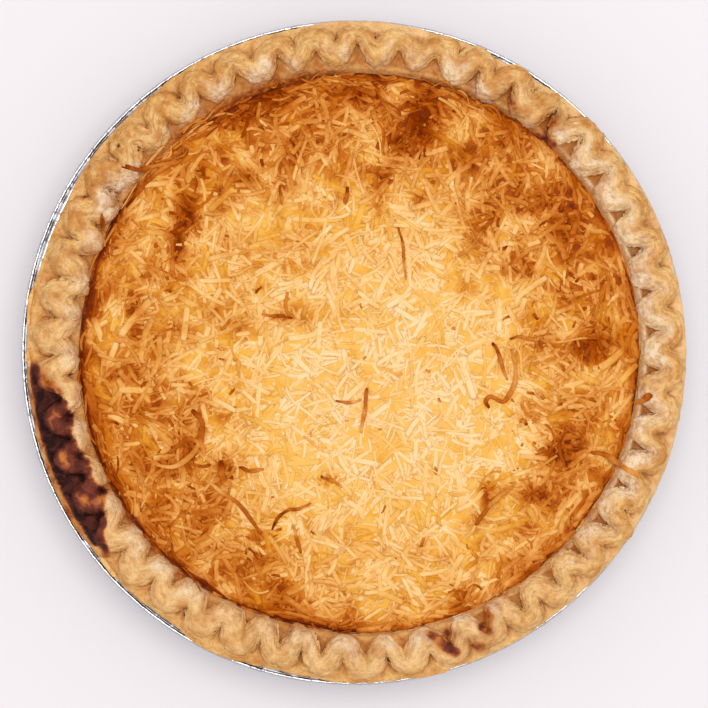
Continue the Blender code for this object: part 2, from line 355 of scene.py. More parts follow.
# Where the filling browned.
toasting = {
    "middle": (12.0, -20.0),        # palest place
    "paleReach": 30.0,
    "edgeReach": 92.0,
    "middleToast": 0.06,
    "edgeToast": 0.47,
    # blots: x, y, half width along x, half width along y, how much browner
    "patches": (
        (-46, 88, 13, 6, 0.3), (-30.5, 95, 6.5, 6, 1), (-58, 74, 16, 6, 0.14), (3, 96, 8, 5, 0.3),
        (-8, 90, 32, 7, 0.15), (26, 86, 6, 8.5, 0.82), (16, 76.5, 5, 4.5, 0.56),
        (56, 70, 13, 11, 0.06), (70, 68, 9, 9, -0.02), (63, 58, 8, 7, 0.26),
        (79, 45, 8, 11, 0.53), (48, 49, 5, 7, 0.28), (60, 31, 9, 5, 0.24), (90, 24, 9, 12, 0.15),
        (66, 2, 10, 8, 0.3), (88, 1, 11, 5, 0.48), (68, -22, 12, 6, 0.34),
        (76, -35.5, 7.5, 7.5, 0.72), (71, -51, 12, 10, 0.25), (50, -51, 4, 7, 0.46),
        (66, -51, 5, 4, 0.36), (45, -62, 4, 4, 0.28), (-61, 51, 4.5, 7, 0.74),
        (-65, 39.5, 3.5, 6.5, 0.64), (-73, 30, 5, 5, 0.2), (-88, 52, 5, 9, 0.2),
        (-80, 0, 4, 12, 0.16), (-61, -33, 5.5, 7, 0.52), (-68, -42, 7, 4.5, 0.46),
        (-47, -42, 4.5, 6, 0.42), (-76, -62, 7, 9, 0.16), (-56, -56, 13, 11, 0.24),
        (-30, -87, 6, 4, 0.36), (2, -74, 32, 8, 0.13), (-9, -47, 4, 2.5, 0.34),
        (-45, 10, 5, 3, 0.24), (-27, 12, 6, 2, 0.24), (10, 50, 3, 6, 0.26), (-31, 60, 6, 5, 0.12),
        (16, -60, 8, 6, 0.09), (33, -89, 9, 6, 0.1), (-88, -30, 5, 6, 0.08),
        (-34, -14, 10, 7, 0.11), (-74, 56, 10, 12, -0.2), (-88, 28, 7, 8, -0.17),
        (-52, 26, 12, 10, -0.12), (-74, 0, 7, 6, -0.12), (-15, 58, 7, 6, -0.1),
        (-74, -60, 7, 5, -0.12), (-46, -75, 7, 5, -0.13), (2, -76, 9, 6, -0.07),
        (96, 36, 4, 14, -0.1), (-16, 14, 20, 8, 0.23), (15, 64, 7, 9, 0.18), (0, -66, 13, 9, 0.1),
        (40, -70, 12, 9, 0.15), (-24, 76, 16, 7, 0.11), (-15, -28, 8, 7, 0.13),
        (0, 28, 7, 6, 0.07), (50, 14, 8, 6, 0.06), (-32, -75, 8, 6, 0.08), (0, -14, 9, 8, 0.14),
        (36, -50, 12, 9, 0.12), (42, -19, 14, 8, -0.08), (-60, -20, 8, 10, 0.12),
        (46, 66, 8, 10, 0.09), (8, -88, 24, 9, -0.1), (-78, 15, 6, 6, 0.06),
        (-80, -18, 8, 6, -0.07), (-16, 60, 20, 9, -0.11), (-3, 48, 14, 9, -0.2),
        (-46, 46, 10, 11, -0.2), (31, 53, 8, 10, -0.14), (91, -31, 6, 9, -0.15),
    ),
    "wander": (0.14, 0.22),         # where pale and where browned
    "wallBand": (0.46, 2.8),        # browner by this, within this of the pastry
    "knee": 0.62,
}


def toastAt(x, y):
    # 0 pale to 1 dark: a ramp outwards from the palest place, a band along the pastry,
    # blots and noise
    v = toasting
    rise = ease(v["paleReach"], v["edgeReach"], np.hypot(x - v["middle"][0], y - v["middle"][1]))
    toast = v["middleToast"] + (v["edgeToast"] - v["middleToast"]) * rise
    turn = np.arctan2(y, x)
    lowerLeft = 0.6 + 0.4 * ease(-0.2, 0.8, facing(turn, 225))
    depth, reach = v["wallBand"]
    away = np.maximum(fillRadius(turn) - np.hypot(x, y), 0)
    toast = toast + depth * lowerLeft * np.exp(-away / reach)
    for east, north, wide, high, strength in v["patches"]:
        toast = toast + strength * np.exp(-((x - east) / wide) ** 2 - ((y - north) / high) ** 2)
    calm, wild = v["wander"]
    toast = toast + (calm + (wild - calm) * rise) * cloud(x / 8, y / 8, 0.5, 31, 3)
    # above the knee it levels off towards 1
    knee = v["knee"]
    above = np.maximum(toast - knee, 0) / (1 - knee)
    return np.minimum(toast, knee) + (1 - knee) * (1 - np.exp(-above))


pastry = {
    "flutes": 46,
    "columns": 30,                  # to each flute
    "firstNotch": math.radians(4.7),
    "drift": math.radians(1.27),
    "driftThird": math.radians(0.38),
    # radii and heights as mean, east, north, oval
    "fill": (103.0, 2.1, 0.0, 0.0),
    "bump": (103.5, 1.9, 0.5, -0.7),
    "notch": (110.3, 3.4, 0.9, -1.2),
    "crease": (112.7, 3.0, 1.2, -1.0),
    "lobe": (119.4, 2.0, 0.3, -0.3),
    "lip": (120.9, 1.1, 0.0, 0.0),
    "notchPower": (3.1, -0.2, -0.2, 0.8),     # how narrow the notches are
    "overhang": (0.5, -0.2, -0.25, 0.0),      # of a bump over the filling
    "ridge": (33.3, 2.7, 0.3, 0.0),           # the inner wall's brow before each pocket
    "pocketFloor": (33.0, 0.6, 0.0, 0.0),
    "fillHeight": 31.0,
    "browReach": 1.5,
    "pocket": (1.7, 3.6),           # distance from the filling at which a pocket sinks
    "crest": 38.6,
    "crestWander": 0.6,
    "lipTop": 33.0,
    "lipRise": 1.9,                 # how far the lip climbs to meet a lobe
    "lipBottom": 31.35,
    # radius and height of its rows under the lip and down along the tin
    "underside": ((115.6, 30.85), (113.9, 28.5), (93.9, 2.0), (91.9, 0.75)),
    "shoulder": 3.7,                # from a foot of the rope to its level top
    "ropeRows": 36,
    "layers": 0.26,                 # relief of the flaky layers
    "flakes": 0.34,
    "lumps": 0.46,
    "crumb": 0.36,
    "flour": (0.25, 0.66, 0.20, 0.36),        # all over, more east and lower left, and uneven
    "foldShades": (0.12, 0.38, 0.40, 0.62),        # painted shade along a foot, in a pocket, notch, crease
    "paintedLight": (0.56, 0.42),                    # painted light on the lip at the right and along the lower left
    # turn and half width in degrees, strength: where the crimps are least even, where the
    # notches get stain and painted shade, and where the creases' painted shade is lighter
    "wild": ((145, 26, 1.9), (52, 11, 1.4), (257, 9, 0.8), (190, 14, 0.5)),
    "notchStainAndShade": ((212, 30, 0.15), (160, 20, 0.25), (262, 16, 0.2), (70, 22, 0.2), (325, 44, 0.30)),
    "softCreaseShade": ((165, 17, 0.55),),
    # where the filling has stained the wall: the same, and how far out
    "washes": ((115, 27, 1.05, 5.6), (150, 22, 0.45, 2.4), (221, 24, 1.0, 4.0), (60, 20, 0.75, 3.6),
               (252, 18, 0.7, 2.8), (272, 10, 0.4, 2.6)),
}
boilOver = {
    "from": 181.5, "to": 218.2, "inner": 105.1, "outer": 118.5, "level": 35.9, "lump": 1.0,
    "upperTongue": (190.0, 1.45),   # from here it narrows by this, in mm to each degree
    "lowerTongue": (209.5, 0.95),
    "dips": 0.4,                    # into the notches
    "paleEdge": (0.26, 4.5),        # less burnt by this, within this of its inner edge
}

# spots on the pastry: turn in degrees, radius, size, strength
burntSpots = (
    (288.9, 115.6, 1.6, 0.4), (288.2, 114, 1.7, 0.36), (287.5, 112.2, 1.8, 0.42),
    (286.7, 110.3, 1.8, 0.42), (285.9, 108.4, 1.7, 0.4), (285.2, 106.8, 1.4, 0.34),
    (288.6, 108.4, 1.3, 0.6), (295.2, 110.6, 1.3, 0.56), (296.4, 109.2, 1, 0.26),
    (293, 117.2, 1.2, 0.34), (292.2, 115.6, 1.2, 0.3), (48.3, 105.2, 2, 0.5),
    (46.3, 105.3, 1.5, 0.4), (49.8, 104.3, 1, 0.3), (44.8, 103.6, 0.8, 0.22),
    (49.4, 109, 1.1, 0.24), (209.6, 111, 2, -0.28), (208, 112.4, 2.4, -0.33),
    (200.7, 112.4, 2.4, -0.29), (199.2, 112.8, 2.4, -0.29), (193.4, 111.8, 2.2, -0.28),
    (192.1, 111.8, 2.2, -0.28), (185.9, 113.2, 2.5, -0.22), (184.4, 112.2, 2.6, -0.3),
    (138.6, 114.2, 0.5, 1), (150, 113.9, 0.6, 1),
)
amberSpots = (
    (49.2, 112.2, 3, 0.95), (49.5, 109.2, 2.2, 0.9), (54.4, 108.8, 1.6, 0.7),
    (57.6, 108.2, 1.2, 1), (57, 106.4, 1.3, 0.9), (296.8, 108.5, 2.8, 0.8),
    (295.8, 112.9, 2.6, 0.85), (293.6, 116.9, 2.8, 0.85), (291.6, 114, 2.4, 0.6),
    (290.2, 109.6, 2, 0.4), (284.9, 106.4, 1.4, 0.4), (297.6, 106.2, 1.5, 0.8),
    (299.7, 106.5, 1.4, 0.6), (58.5, 109.5, 2.2, 0.45), (56, 106.6, 1.2, 0.7),
    (77.5, 106.6, 1, 0.45), (187.6, 108.6, 1.8, 1), (186, 112, 2.4, 1.2), (184, 114.6, 2.2, 1.2),
    (182.4, 116.2, 1.6, 0.9),
)
flourSpots = (
    (149.4, 104.8, 2.6, 1.3), (148.2, 108.2, 2, 1.1), (146.4, 107.2, 2.6, 1.3),
    (144.6, 104.8, 2, 1.2), (141.2, 103.6, 2.2, 1.3), (130.6, 105.6, 2, 1),
    (125.6, 105.8, 2.4, 1.1), (122.4, 107, 2.4, 1.1), (109.6, 107.6, 2.6, 1.3),
    (107.2, 110.4, 2.4, 1.3), (64.8, 107.4, 3.2, 1.2), (62.6, 105.2, 2.4, 1.4),
    (46.8, 109.6, 1.8, 1.4), (52.6, 105.4, 1.8, 1.1), (291.4, 104, 1.5, 1.3),
)

# turn in degrees, half width in degrees, and how much further out the filling reaches,
# how much further in a bump reaches, and how much further out the lip reaches
fillBulges = ((122, 24, -0.9), (165, 14, -0.5), (222, 18, 0.5), (256, 11, -0.7), (63, 6, -0.5))
bumpBulges = (
    (260.6, 3.6, 2.6), (252.6, 3.6, 3), (245, 3.6, 1.6), (237, 3.6, 1.9), (228.6, 3.6, 1.5),
    (221, 3.6, 0.9), (204.6, 3.6, 0.5), (63.2, 3.6, 2.8), (50.6, 3, 2.4), (147.5, 3.5, 2.4),
    (321, 3.6, 1.8), (314, 3.6, 1.5), (306, 3.6, 1.4), (298.5, 3.6, 1.2), (291, 3.6, 1.4),
    (16.4, 3.6, 0.8),
)
lipBulges = (
    (244, 5.5, 1.3), (283.5, 3, 0.8), (157, 9, -1), (259, 6, -0.8), (230, 8, 0.3), (120, 8, 0.5),
    (61, 8, -1.2), (203, 13, 0.9), (235, 5, -0.6), (90, 10, 0.5),
)


def fillRadius(turn):
    # where the filling meets the crust: mean + east cos, and a bulge at each place
    radius = swing(turn, *pastry["fill"]) + addBulges(turn, fillBulges, 2)
    return radius + 0.18 * ringCloud(turn, 7, 3.0, 43, 2)


def perCrimp(place, seed, spread):
    # one random value for each crimp, eased from each to the next
    draw = np.random.default_rng(seed).uniform(-spread, spread, pastry["flutes"])
    low = np.floor(place).astype(int)
    share = ease(0, 1, place - low)
    return draw[low % len(draw)] * (1 - share) + draw[(low + 1) % len(draw)] * share


def wildness(turn):
    # 1 where the crimps are even, more round each wild place
    return 1 + addBulges(turn, pastry["wild"], 2)


def crimpPlace(turn):
    # how many crimps round from the first notch
    v = pastry
    drift = v["drift"] * np.sin(turn) + v["driftThird"] * np.cos(3 * turn + 0.45)
    return (turn - v["firstNotch"] + drift) / fullTurn * v["flutes"]


def lobeArch(phase):
    # 1 at the middle of a lobe and 0 at a crease, in a broad arch
    return (1 - phase ** 2.2) ** 0.55


def rimOutline(turn):
    # radii of the rope's inner and outer edges and the crimp's phase. At a notch the
    # phase is 0 and at a bump it is 1. Inner: bump + depth (1 - phase)^power, broad
    # bumps and narrow notches. Outer: crease + depth (1 - phase^2.2)^0.55, arches with
    # a narrow cut between them.
    v = pastry
    place = crimpPlace(turn)
    uneven = wildness(turn)
    lean = perCrimp(place, 4, 0.06) * uneven
    inPlace = place + 0.5 * lean + perCrimp(place, 1, 0.05) * uneven
    outPlace = place - 0.5 * lean + perCrimp(place, 2, 0.06) * uneven
    inPhase, outPhase = (2 * np.abs(at - np.round(at)) for at in (inPlace, outPlace))
    bump = swing(turn, *v["bump"]) + perCrimp(place, 5, 0.7) * uneven - addBulges(turn, bumpBulges)
    notch = swing(turn, *v["notch"]) + perCrimp(place, 6, 0.8) * uneven
    lobe = swing(turn, *v["lobe"]) + perCrimp(place, 7, 0.6)
    crease = swing(turn, *v["crease"]) + perCrimp(place, 8, 1.0) * uneven
    inner = bump + (notch - bump) * (1 - inPhase) ** swing(turn, *v["notchPower"])
    outer = crease + (lobe - crease) * lobeArch(outPhase)
    ragged = ringCloud(turn, 24, 0.0, 10) * uneven
    slow = ringCloud(turn, 9, 5.0, 18, 2) * uneven
    inner = inner + 0.30 * ragged + 0.35 * slow
    outer = outer + 0.24 * np.roll(ragged, 90) + 0.30 * np.roll(slow, 200)
    return np.maximum(inner, fillRadius(turn) + 0.35), outer, inPhase, outPhase, place


def nearest(points, curve, reach):
    # distance from each grid point to a closed curve, looking reach columns either way
    best = np.full(points.shape[:2], 1e9)
    for step in range(-reach, reach + 1):
        beside = np.roll(curve, step, 0)[:, None, :]
        best = np.minimum(best, ((points - beside) ** 2).sum(2))
    return np.sqrt(best)


def makePastryMaterial():
    material, tree, shader = newMaterial("bakedPastry", {"Roughness": 0.75, "Specular IOR Level": 0.07})
    place = objectPlace(tree)
    layers = attributeNode(tree, "layerPlace", "Vector")
    mottle = lambda where, **values: groupNode(tree, "Mottle", where, **values)
    times = lambda mask, share: mathNode(tree, "MULTIPLY", mask, share)
    over = lambda mask, colour, tone: mixColours(tree, mask, colour, tone)
    broad = mottle(place, Size=8.0, Low=0.38, High=0.62)
    colour = mixColours(tree, broad, (238, 186, 112), (224, 160, 88))
    # painted light and shade: raised places, by the relief, are made paler and low ones stay darker
    high = mathNode(tree, "MULTIPLY_ADD", attributeNode(tree, "relief"), 0.7, 0.35, clamp=True)
    colour = over(times(high, 0.7), colour, (248, 208, 142))
    streaks = mottle(layers, Size=1000.0, Low=0.42, High=0.62)
    colour = over(times(streaks, 0.45), colour, (202, 134, 68))
    warm = mottle(place, Size=3.4, Low=0.50, High=0.66, Distortion=0.6)
    colour = over(times(warm, 0.42), colour, (208, 132, 64))
    specks = mottle(place, Size=1.3, Low=0.57, High=0.68)
    colour = over(times(specks, 0.45), colour, (182, 116, 62))
    # painted light: paler on the lip at the right and on the rope at the lower left
    colour = over(attributeNode(tree, "paintedLight"), colour, (250, 206, 146))
    dusty = mottle(place, Size=1.7, Low=0.40, High=0.56, Distortion=0.4)
    dusty = mathNode(tree, "MULTIPLY_ADD", dusty, 0.62, 0.30)
    flour = mathNode(tree, "MULTIPLY", attributeNode(tree, "flour"), dusty, clamp=True)
    colour = over(flour, colour, (246, 219, 184))
    cracks = groupNode(tree, "ThinLines", layers, Size=800.0, Width=0.020)
    cracks = times(cracks, mottle(place, Size=3.0, Low=0.45, High=0.6))
    colour = over(times(cracks, 0.5), colour, (160, 92, 42))
    # painted shade in the folds: along the rope's feet, in pockets, notches and creases
    colour = over(attributeNode(tree, "foldShade"), colour, (177, 106, 47))
    # the stains are a glaze, and the burnt places a char that blisters
    amber = attributeNode(tree, "amber")
    stained = mottle(place, Size=2.6, Low=0.40, High=0.60, Distortion=0.8)
    colour = over(amber, colour, mixColours(tree, stained, (192, 106, 36), (140, 62, 16)))
    burnt = attributeNode(tree, "burnt")
    cooked = mottled(tree, burnt, place, 0.30, 0.18, Size=3.6, Low=0.36, High=0.64, Distortion=0.8)
    char = rampNode(tree, cooked, ((0.06, 204, 126, 58), (0.26, 166, 90, 50), (0.44, 124, 60, 44),
                                   (0.70, 92, 43, 32), (1.00, 44, 20, 17)))
    colour = over(mathNode(tree, "MULTIPLY", burnt, 4.5, clamp=True), colour, char)
    glossy = mathNode(tree, "MAXIMUM", burnt, times(amber, 0.8))
    feed(tree, shader, {
        "Base Color": colour, "Roughness": mathNode(tree, "MULTIPLY_ADD", glossy, -0.42, 0.75),
        "Normal": groupNode(tree, "RoughSkin", place, Coarse=1.2, Fine=0.45, Strength=1.0, Depth=0.8)})
    return material


pastryMaterial = makePastryMaterial()


def addSpots(points, spots):
    # sum of round blots strength exp(-distance^2 / size^2)
    total = np.zeros(points.shape[:2])
    for degrees, radius, size, strength in spots:
        east, north = polar(radius, math.radians(degrees))
        square = (points[..., 0] - east) ** 2 + (points[..., 1] - north) ** 2
        total += strength * np.exp(-square / size ** 2)
    return total


crustTopRows = {}


def crustGrid(turn, fill, inner, outer, inPhase, outPhase, place):
    # Rows of radius, height and how far across: -1 to 1 on the rope, less on the inner wall,
    # more on the lip and then down the tin's wall, and how close to a foot of the rope, for painted
    # shade.
    # Across the rope the height follows the distance to its nearer edge, so the ridge
    # snakes along between them: f = (1 - (1 - distance / shoulder)^2)^(1/1.3).
    v = pastry
    lip = swing(turn, *v["lip"]) + 0.35 * ringCloud(turn, 3, 2.0, 9)
    lip = lip + 0.20 * ringCloud(turn, 40, 6.0, 20)
    lip = np.maximum(lip + addBulges(turn, lipBulges), outer + 0.5)
    crest = v["crest"] + perCrimp(place, 3, v["crestWander"])
    lipFoot = v["lipTop"] + v["lipRise"] * lobeArch(outPhase)
    ridge, pocketFloor = swing(turn, *v["ridge"]), swing(turn, *v["pocketFloor"])

    def wallHeight(away):
        # from the filling the wall climbs to a brow, then sinks into a pocket
        brow = v["fillHeight"] + (ridge - v["fillHeight"]) * ease(0, v["browReach"], away)
        sunk = ease(*v["pocket"], away)
        return np.minimum(brow * (1 - sunk) + pocketFloor * sunk, crest - 1.6)

    unit = np.stack(polar(1.0, turn), -1)
    share = 0.5 - 0.5 * np.cos(np.linspace(0, np.pi, v["ropeRows"]))
    radius = inner[:, None] + (outer - inner)[:, None] * share
    flat = unit[:, None, :] * radius[..., None]
    toInner = nearest(flat, unit * inner[:, None], 22)
    toOuter = nearest(flat, unit * outer[:, None], 22)
    near = np.minimum(toInner, toOuter)
    near[:, (0, -1)] = 0
    side = toInner / np.maximum(toInner + toOuter, 1e-6)
    rise = (1 - (1 - np.clip(near / v["shoulder"], 0, 1)) ** 2) ** (1 / 1.3)
    foot = wallHeight(inner - fill)[:, None] * (1 - side) + lipFoot[:, None] * side
    height = foot + (crest[:, None] - foot) * rise
    # a bump's inner side leans out over the filling, most where it is half way up
    overhang = swing(turn, *v["overhang"]) * ease(0.3, 1.0, inPhase)
    radius = radius - overhang[:, None] * 4 * rise * (1 - rise) * (side < 0.5)

    grid = [(fill - 0.9, 27.5, -1.9), (fill - 0.1, v["fillHeight"] - 0.6, -1.8)]
    for part in np.linspace(0, 1, 11)[:-1]:
        away = (inner - fill) * part
        grid.append((fill + away, wallHeight(away), -1.8 + 0.7 * part))
    rope = slice(len(grid), len(grid) + v["ropeRows"])
    grid += zip(radius.T, height.T, (2 * side - 1).T)
    for part in np.linspace(0, 1, 7)[1:]:
        lipHeight = v["lipTop"] - 0.5 * part ** 3 + (lipFoot - v["lipTop"]) * (1 - part) ** 1.6
        grid.append((outer + (lip - outer) * part, lipHeight, 1.1 + 0.5 * part))
    grid += [(lip + 0.1, 32.0, 1.65), (lip - 0.5, v["lipBottom"], 1.7)]
    grid += [(*row, 1.8) for row in v["underside"]]
    radius, height, across = (np.stack([row + 0 * turn for row in part], 1) for part in zip(*grid))
    deep = np.zeros_like(across)
    deep[:, rope] = 1 - ease(0.0, 0.8, near)
    return radius, height, across, deep


def seen(across):
    # 1 on what shows, 0 behind the filling and under the lip
    return ease(-1.78, -1.5, across) * ease(1.66, 1.4, across)


def crustRelief(turn, across, x, y, z):
    # Flaky layers, lumps and crumb. The layers follow the rope: their noise is slow round
    # the rim and quick across it.
    v = pastry
    slow1, slow2 = (16 * part[:, None] + 0 * across for part in polar(1.0, turn))
    bend = 0.5 * cloud(1.7 * slow1, 1.7 * slow2, across, 11, 2)
    layered = 0.6 - 1.6 * np.abs(cloud(slow1, slow2, 4.6 * across + 1.4 * bend, 12, 2))
    lumps = cloud(x / 4.2, y / 4.2, z / 4.2, 13, 3)
    crumb = cloud(x / 1.5, y / 1.5, z / 1.5, 17, 2)
    wave = 4.0 * cloud(0.45 * slow1, 0.45 * slow2, 1.5 * across + 0.5 * bend + 0.25 * lumps, 24, 2)
    wave = wave - np.floor(wave)
    flakes = ease(0.0, 0.8, wave) - ease(0.86, 1.0, wave) - 0.5
    onRope = ease(1.3, 1.0, np.abs(across))
    wild = wildness(turn)[:, None]
    relief = (v["layers"] * layered + v["flakes"] * (0.7 + 0.3 * wild) * flakes) * onRope
    relief = relief + (v["lumps"] * lumps * wild + v["crumb"] * crumb) * (0.45 + 0.55 * onRope)
    layerPlace = np.stack([slow1 * 0.9, slow2 * 0.9, 5.0 * across + bend], -1).reshape(-1, 3)
    return relief * seen(across), lumps, crumb, layerPlace


def boiledOver(turn, inPhase, radius, across, x, y, z, lumps):
    # The boil-over lies at a level of its own, narrows to a tongue at either end and runs
    # down into each notch: how much of a place it covers, how far it lifts it and burns
    # it, and how amber the lip is outside it.
    b = boilOver
    degrees = np.degrees(turn)[:, None]
    edge = 2.5 * cloud(x / 6, y / 6, 0.0, 14, 2)
    inSweep = ease(b["from"] - 1.5, b["from"] + 1.5, degrees + edge)
    inSweep = inSweep * ease(b["to"] + 1.5, b["to"] - 1.5, degrees + edge)
    (upperEnd, upperSlope), (lowerEnd, lowerSlope) = b["upperTongue"], b["lowerTongue"]
    nearEdge = b["inner"] + lowerSlope * np.maximum(degrees - lowerEnd, 0)
    nearEdge = nearEdge + upperSlope * np.maximum(upperEnd - degrees, 0)
    nearEdge = nearEdge - b["dips"] * (1 - inPhase[:, None]) ** 1.5
    spill = inSweep * ease(-0.7, 0.7, radius + 0.7 * edge - nearEdge)
    spill = spill * ease(b["outer"] + 0.8, b["outer"] - 0.8, radius) * seen(across)
    level = b["level"] + b["lump"] * cloud(x / 5, y / 5, 1.0, 15, 2)
    poke = ease(0.3, 3.0, z - level + 1.0 * lumps) * ease(0.2, 0.5, spill)
    lift = spill * np.clip(level - z, 0.3, 2.8) * (across > -0.6)
    paler, reach = b["paleEdge"]
    thin = ease(reach, 0.0, radius - nearEdge)
    burnt = spill * (0.97 + 0.2 * lumps - 0.37 * poke - paler * thin)
    lipBand = ease(b["outer"] - 0.6, b["outer"] + 0.4, radius) * (0.55 + 0.5 * lumps)
    return spill, lift, burnt, inSweep * lipBand


def makeCrust():
    v = pastry
    turn = evenTurns(v["flutes"] * v["columns"])
    fill = fillRadius(turn)
    inner, outer, inPhase, outPhase, place = rimOutline(turn)
    radius, height, across, deep = crustGrid(turn, fill, inner, outer, inPhase, outPhase, place)
    crustTopRows["radius"] = radius[:, 2:-6]
    crustTopRows["height"] = height[:, 2:-6]
    points = np.stack([*polar(radius, turn[:, None]), height], -1)
    x, y, z = points[..., 0], points[..., 1], points[..., 2]
    relief, lumps, crumb, layerPlace = crustRelief(turn, across, x, y, z)
    spill, lift, burnt, amber = boiledOver(turn, inPhase, radius, across, x, y, z, lumps)
    points = points + gridNormals(points) * relief[..., None] * (1 - 0.6 * spill[..., None])
    points[..., 2] = np.minimum(points[..., 2] + lift, crustTop - 0.03)
    reach = np.hypot(points[..., 0], points[..., 1])
    points[..., :2] *= np.minimum(1, (tinRadius - 0.15) / reach)[..., None]

    # flour on the bumps and, at the right, on the wall's brow
    east = ease(0.5, 0.9, np.cos(turn))[:, None]
    lowerLeft = ease(-0.1, 0.7, facing(turn, 238))[:, None]
    onBump = np.maximum(ease(0.2, 0.65, inPhase)[:, None], 0.8 * east)
    onBump = onBump * ease(0.45, -0.35, across) * ease(-1.02, -0.9, across)
    even, atEast, atLeft, uneven = v["flour"]
    dusted = even + atEast * east + atLeft * lowerLeft + perCrimp(place + 0.5, 19, uneven)[:, None]
    patchy = dusted + 0.7 * cloud(x / 8, y / 8, 4.0, 16, 2)
    fromFill = radius - fill[:, None]
    onWall = across < -0.98
    sunk = ease(*v["pocket"], fromFill) * onWall
    brow = ease(0.2, 1.0, fromFill) * (1 - sunk) * onWall * east
    flour = onBump * patchy + brow * (0.75 + 0.5 * lumps)
    flour = np.clip(flour + addSpots(points, flourSpots) * ease(1.0, 0.5, across), 0, 1.5)

    # painted shade: darker along the rope's feet, in the pockets and in the creases
    apex = ease(0.5, 0.0, inPhase)[:, None] * sunk
    cut = ease(0.6, 1.0, outPhase)[:, None] * (across > 0.98) * ease(1.4, 1.1, across)
    cut = cut * (1 - addBulges(turn, v["softCreaseShade"], 2))[:, None]
    foot, pocket, notch, crease = v["foldShades"]
    foldShade = foot * deep + pocket * sunk + notch * apex + (crease + 0.25 * lowerLeft) * cut
    foldShade = np.clip(foldShade - 0.35 * relief - 0.25 * crumb, 0, 0.95) * seen(across)

    # the filling has stained the wall and the notches, and the notches also get painted shade in the
    # stain's colours
    washed = 0
    for degrees, wide, strength, far in v["washes"]:
        share = addBulges(turn, ((degrees, wide, strength),))[:, None]
        washed = np.maximum(washed, share * ease(far, 0.3, fromFill + 0.8 * lumps))
    washed = washed * np.where(across > -1.04, 0.3, 1.0)
    inNotch = ease(0.6, 2.4, inner - fill)[:, None] * (across < -1.04)
    # stain and painted shade: the notches near the filling are browned
    notchStainShade = addBulges(turn, v["notchStainAndShade"], 2)[:, None]
    washed = np.maximum(washed, notchStainShade * inNotch * ease(6.5, 0.5, fromFill + 0.8 * lumps))
    amber = np.maximum(addSpots(points, amberSpots) * (1 + 0.6 * lumps), amber)
    amber = np.clip(np.maximum(amber, washed), 0, 1)
    burnt = np.clip(burnt + addSpots(points, burntSpots) * (1 + 0.5 * lumps), 0, 1)

    # painted light: the lip at the right and the rope along the lower left are made paler, as if more
    # light fell on them
    onLip, onLeft = v["paintedLight"]
    paintedLight = onLip * ease(0.75, 1.05, across) * ease(-0.3, 0.5, facing(turn, 20))[:, None]
    paintedLight = (paintedLight + onLeft * lowerLeft * ease(1.1, 0.8, np.abs(across))) * (1 + 0.5 * lumps)
    fields = {"flour": flour, "amber": amber, "burnt": burnt, "foldShade": foldShade,
              "relief": np.clip(relief / 0.5, -1, 1), "paintedLight": np.clip(paintedLight, 0, 1)}
    values = {label: np.append(field, [0, 0]) for label, field in fields.items()}
    values["layerPlace"] = np.vstack([layerPlace, np.zeros((2, 3))])
    points, faces = closedRing(points, [2.0, 0.5, 27.5], [0, 0, 0.75], True)
    makePiece("crimped_pastry", points, faces, pastryMaterial, values, "pastry_crust")


# loose strips of dough on the lip: first and last turn in degrees, radius, width
doughSlivers = (
    (179.6, 182.6, 119.2, 1.7), (168.2, 175.2, 119.9, 1.6), (165.3, 167.8, 118.3, 1.8),
    (218.8, 223.6, 119.6, 1.9),
)


def makeDoughSlivers():
    # each follows the lip at radius + 0.25 sin, and its section is an oval
    stations, sides = 14, 8
    level, halfHigh = 33.55, 0.45
    share = np.linspace(0, 1, stations)
    angle = evenTurns(sides, 0.5)
    strips = []
    for first, last, radius, width in doughSlivers:
        turn = np.radians(first + (last - first) * share)
        half = 0.5 * width * (1 - (2 * share - 1) ** 4 * 0.6) * (1 + 0.12 * np.sin(9 * share + first))
        middle = radius + 0.25 * np.sin(5 * share + last)
        out = middle[:, None] + half[:, None] * np.cos(angle)
        up = level + halfHigh * np.sin(angle) + 0 * out
        strips.append(np.stack([*polar(out, turn[:, None]), up], -1))
    points = np.array(strips)
    flat = points.reshape(-1, 3)
    values = {"relief": np.full(len(flat), 0.8), "layerPlace": flat * (0.15, 0.15, 1.0)}
    makePiece("dough_slivers", points, shredFaces(len(strips), stations, sides, True),
              pastryMaterial, values)


custard = {
    "around": 460,
    "rings": 120,
    "edgeHeight": 31.0,
    "dome": 0.6,
    "ripple": 0.22,
    "swell": 0.20,
    "pores": 0.10,
    "gap": 0.45,
    "foot": (92.2, 5.1),            # radius and height of its bottom edge
}
custardMiddle = (2.1, 0.0)


def custardHeight(x, y):
    # a dome, 1 - radius^2, with slow ripples and a low swell
    v = custard
    east, north = x - custardMiddle[0], y - custardMiddle[1]
    inside = 1 - np.minimum(1, np.hypot(east, north) / 103.0) ** 2
    ripple = np.sin(east / 13 + 0.7) * np.cos(north / 17 - 0.4)
    height = v["edgeHeight"] + inside * (v["dome"] + v["ripple"] * ripple)
    return height + v["swell"] * cloud(x / 5, y / 5, 0.0, 21, 3) * ease(0, 0.06, inside)


# position, and a colour
custardTones = (
    (0.00, 239, 186, 96), (0.20, 233, 170, 66), (0.40, 213, 136, 40), (0.60, 188, 100, 20),
    (0.80, 157, 67, 6), (1.00, 112, 38, 2))
coconutTones = (
    (0.00, 246, 211, 160), (0.15, 243, 201, 138), (0.34, 235, 181, 106), (0.50, 221, 151, 74),
    (0.62, 204, 124, 48), (0.75, 182, 95, 25), (0.88, 152, 66, 9), (1.00, 112, 39, 3))
caramelTones = ((0.0, 220, 146, 48), (0.35, 188, 100, 26), (0.65, 140, 58, 12), (1.0, 92, 30, 6))


def makeCustardMaterial():
    material, tree, shader = newMaterial("custardSkin", {"Roughness": 0.42, "Specular IOR Level": 0.03})
    place = objectPlace(tree)
    toast = mottled(tree, attributeNode(tree, "toast"), place, 0.14, 0.07, Size=3.0, Low=0.3, High=0.7)
    feed(tree, shader, {
        "Base Color": rampNode(tree, toast, custardTones),
        "Normal": groupNode(tree, "RoughSkin", place, Coarse=2.2, Fine=0.7, Strength=0.4, Depth=0.3)})
    return material


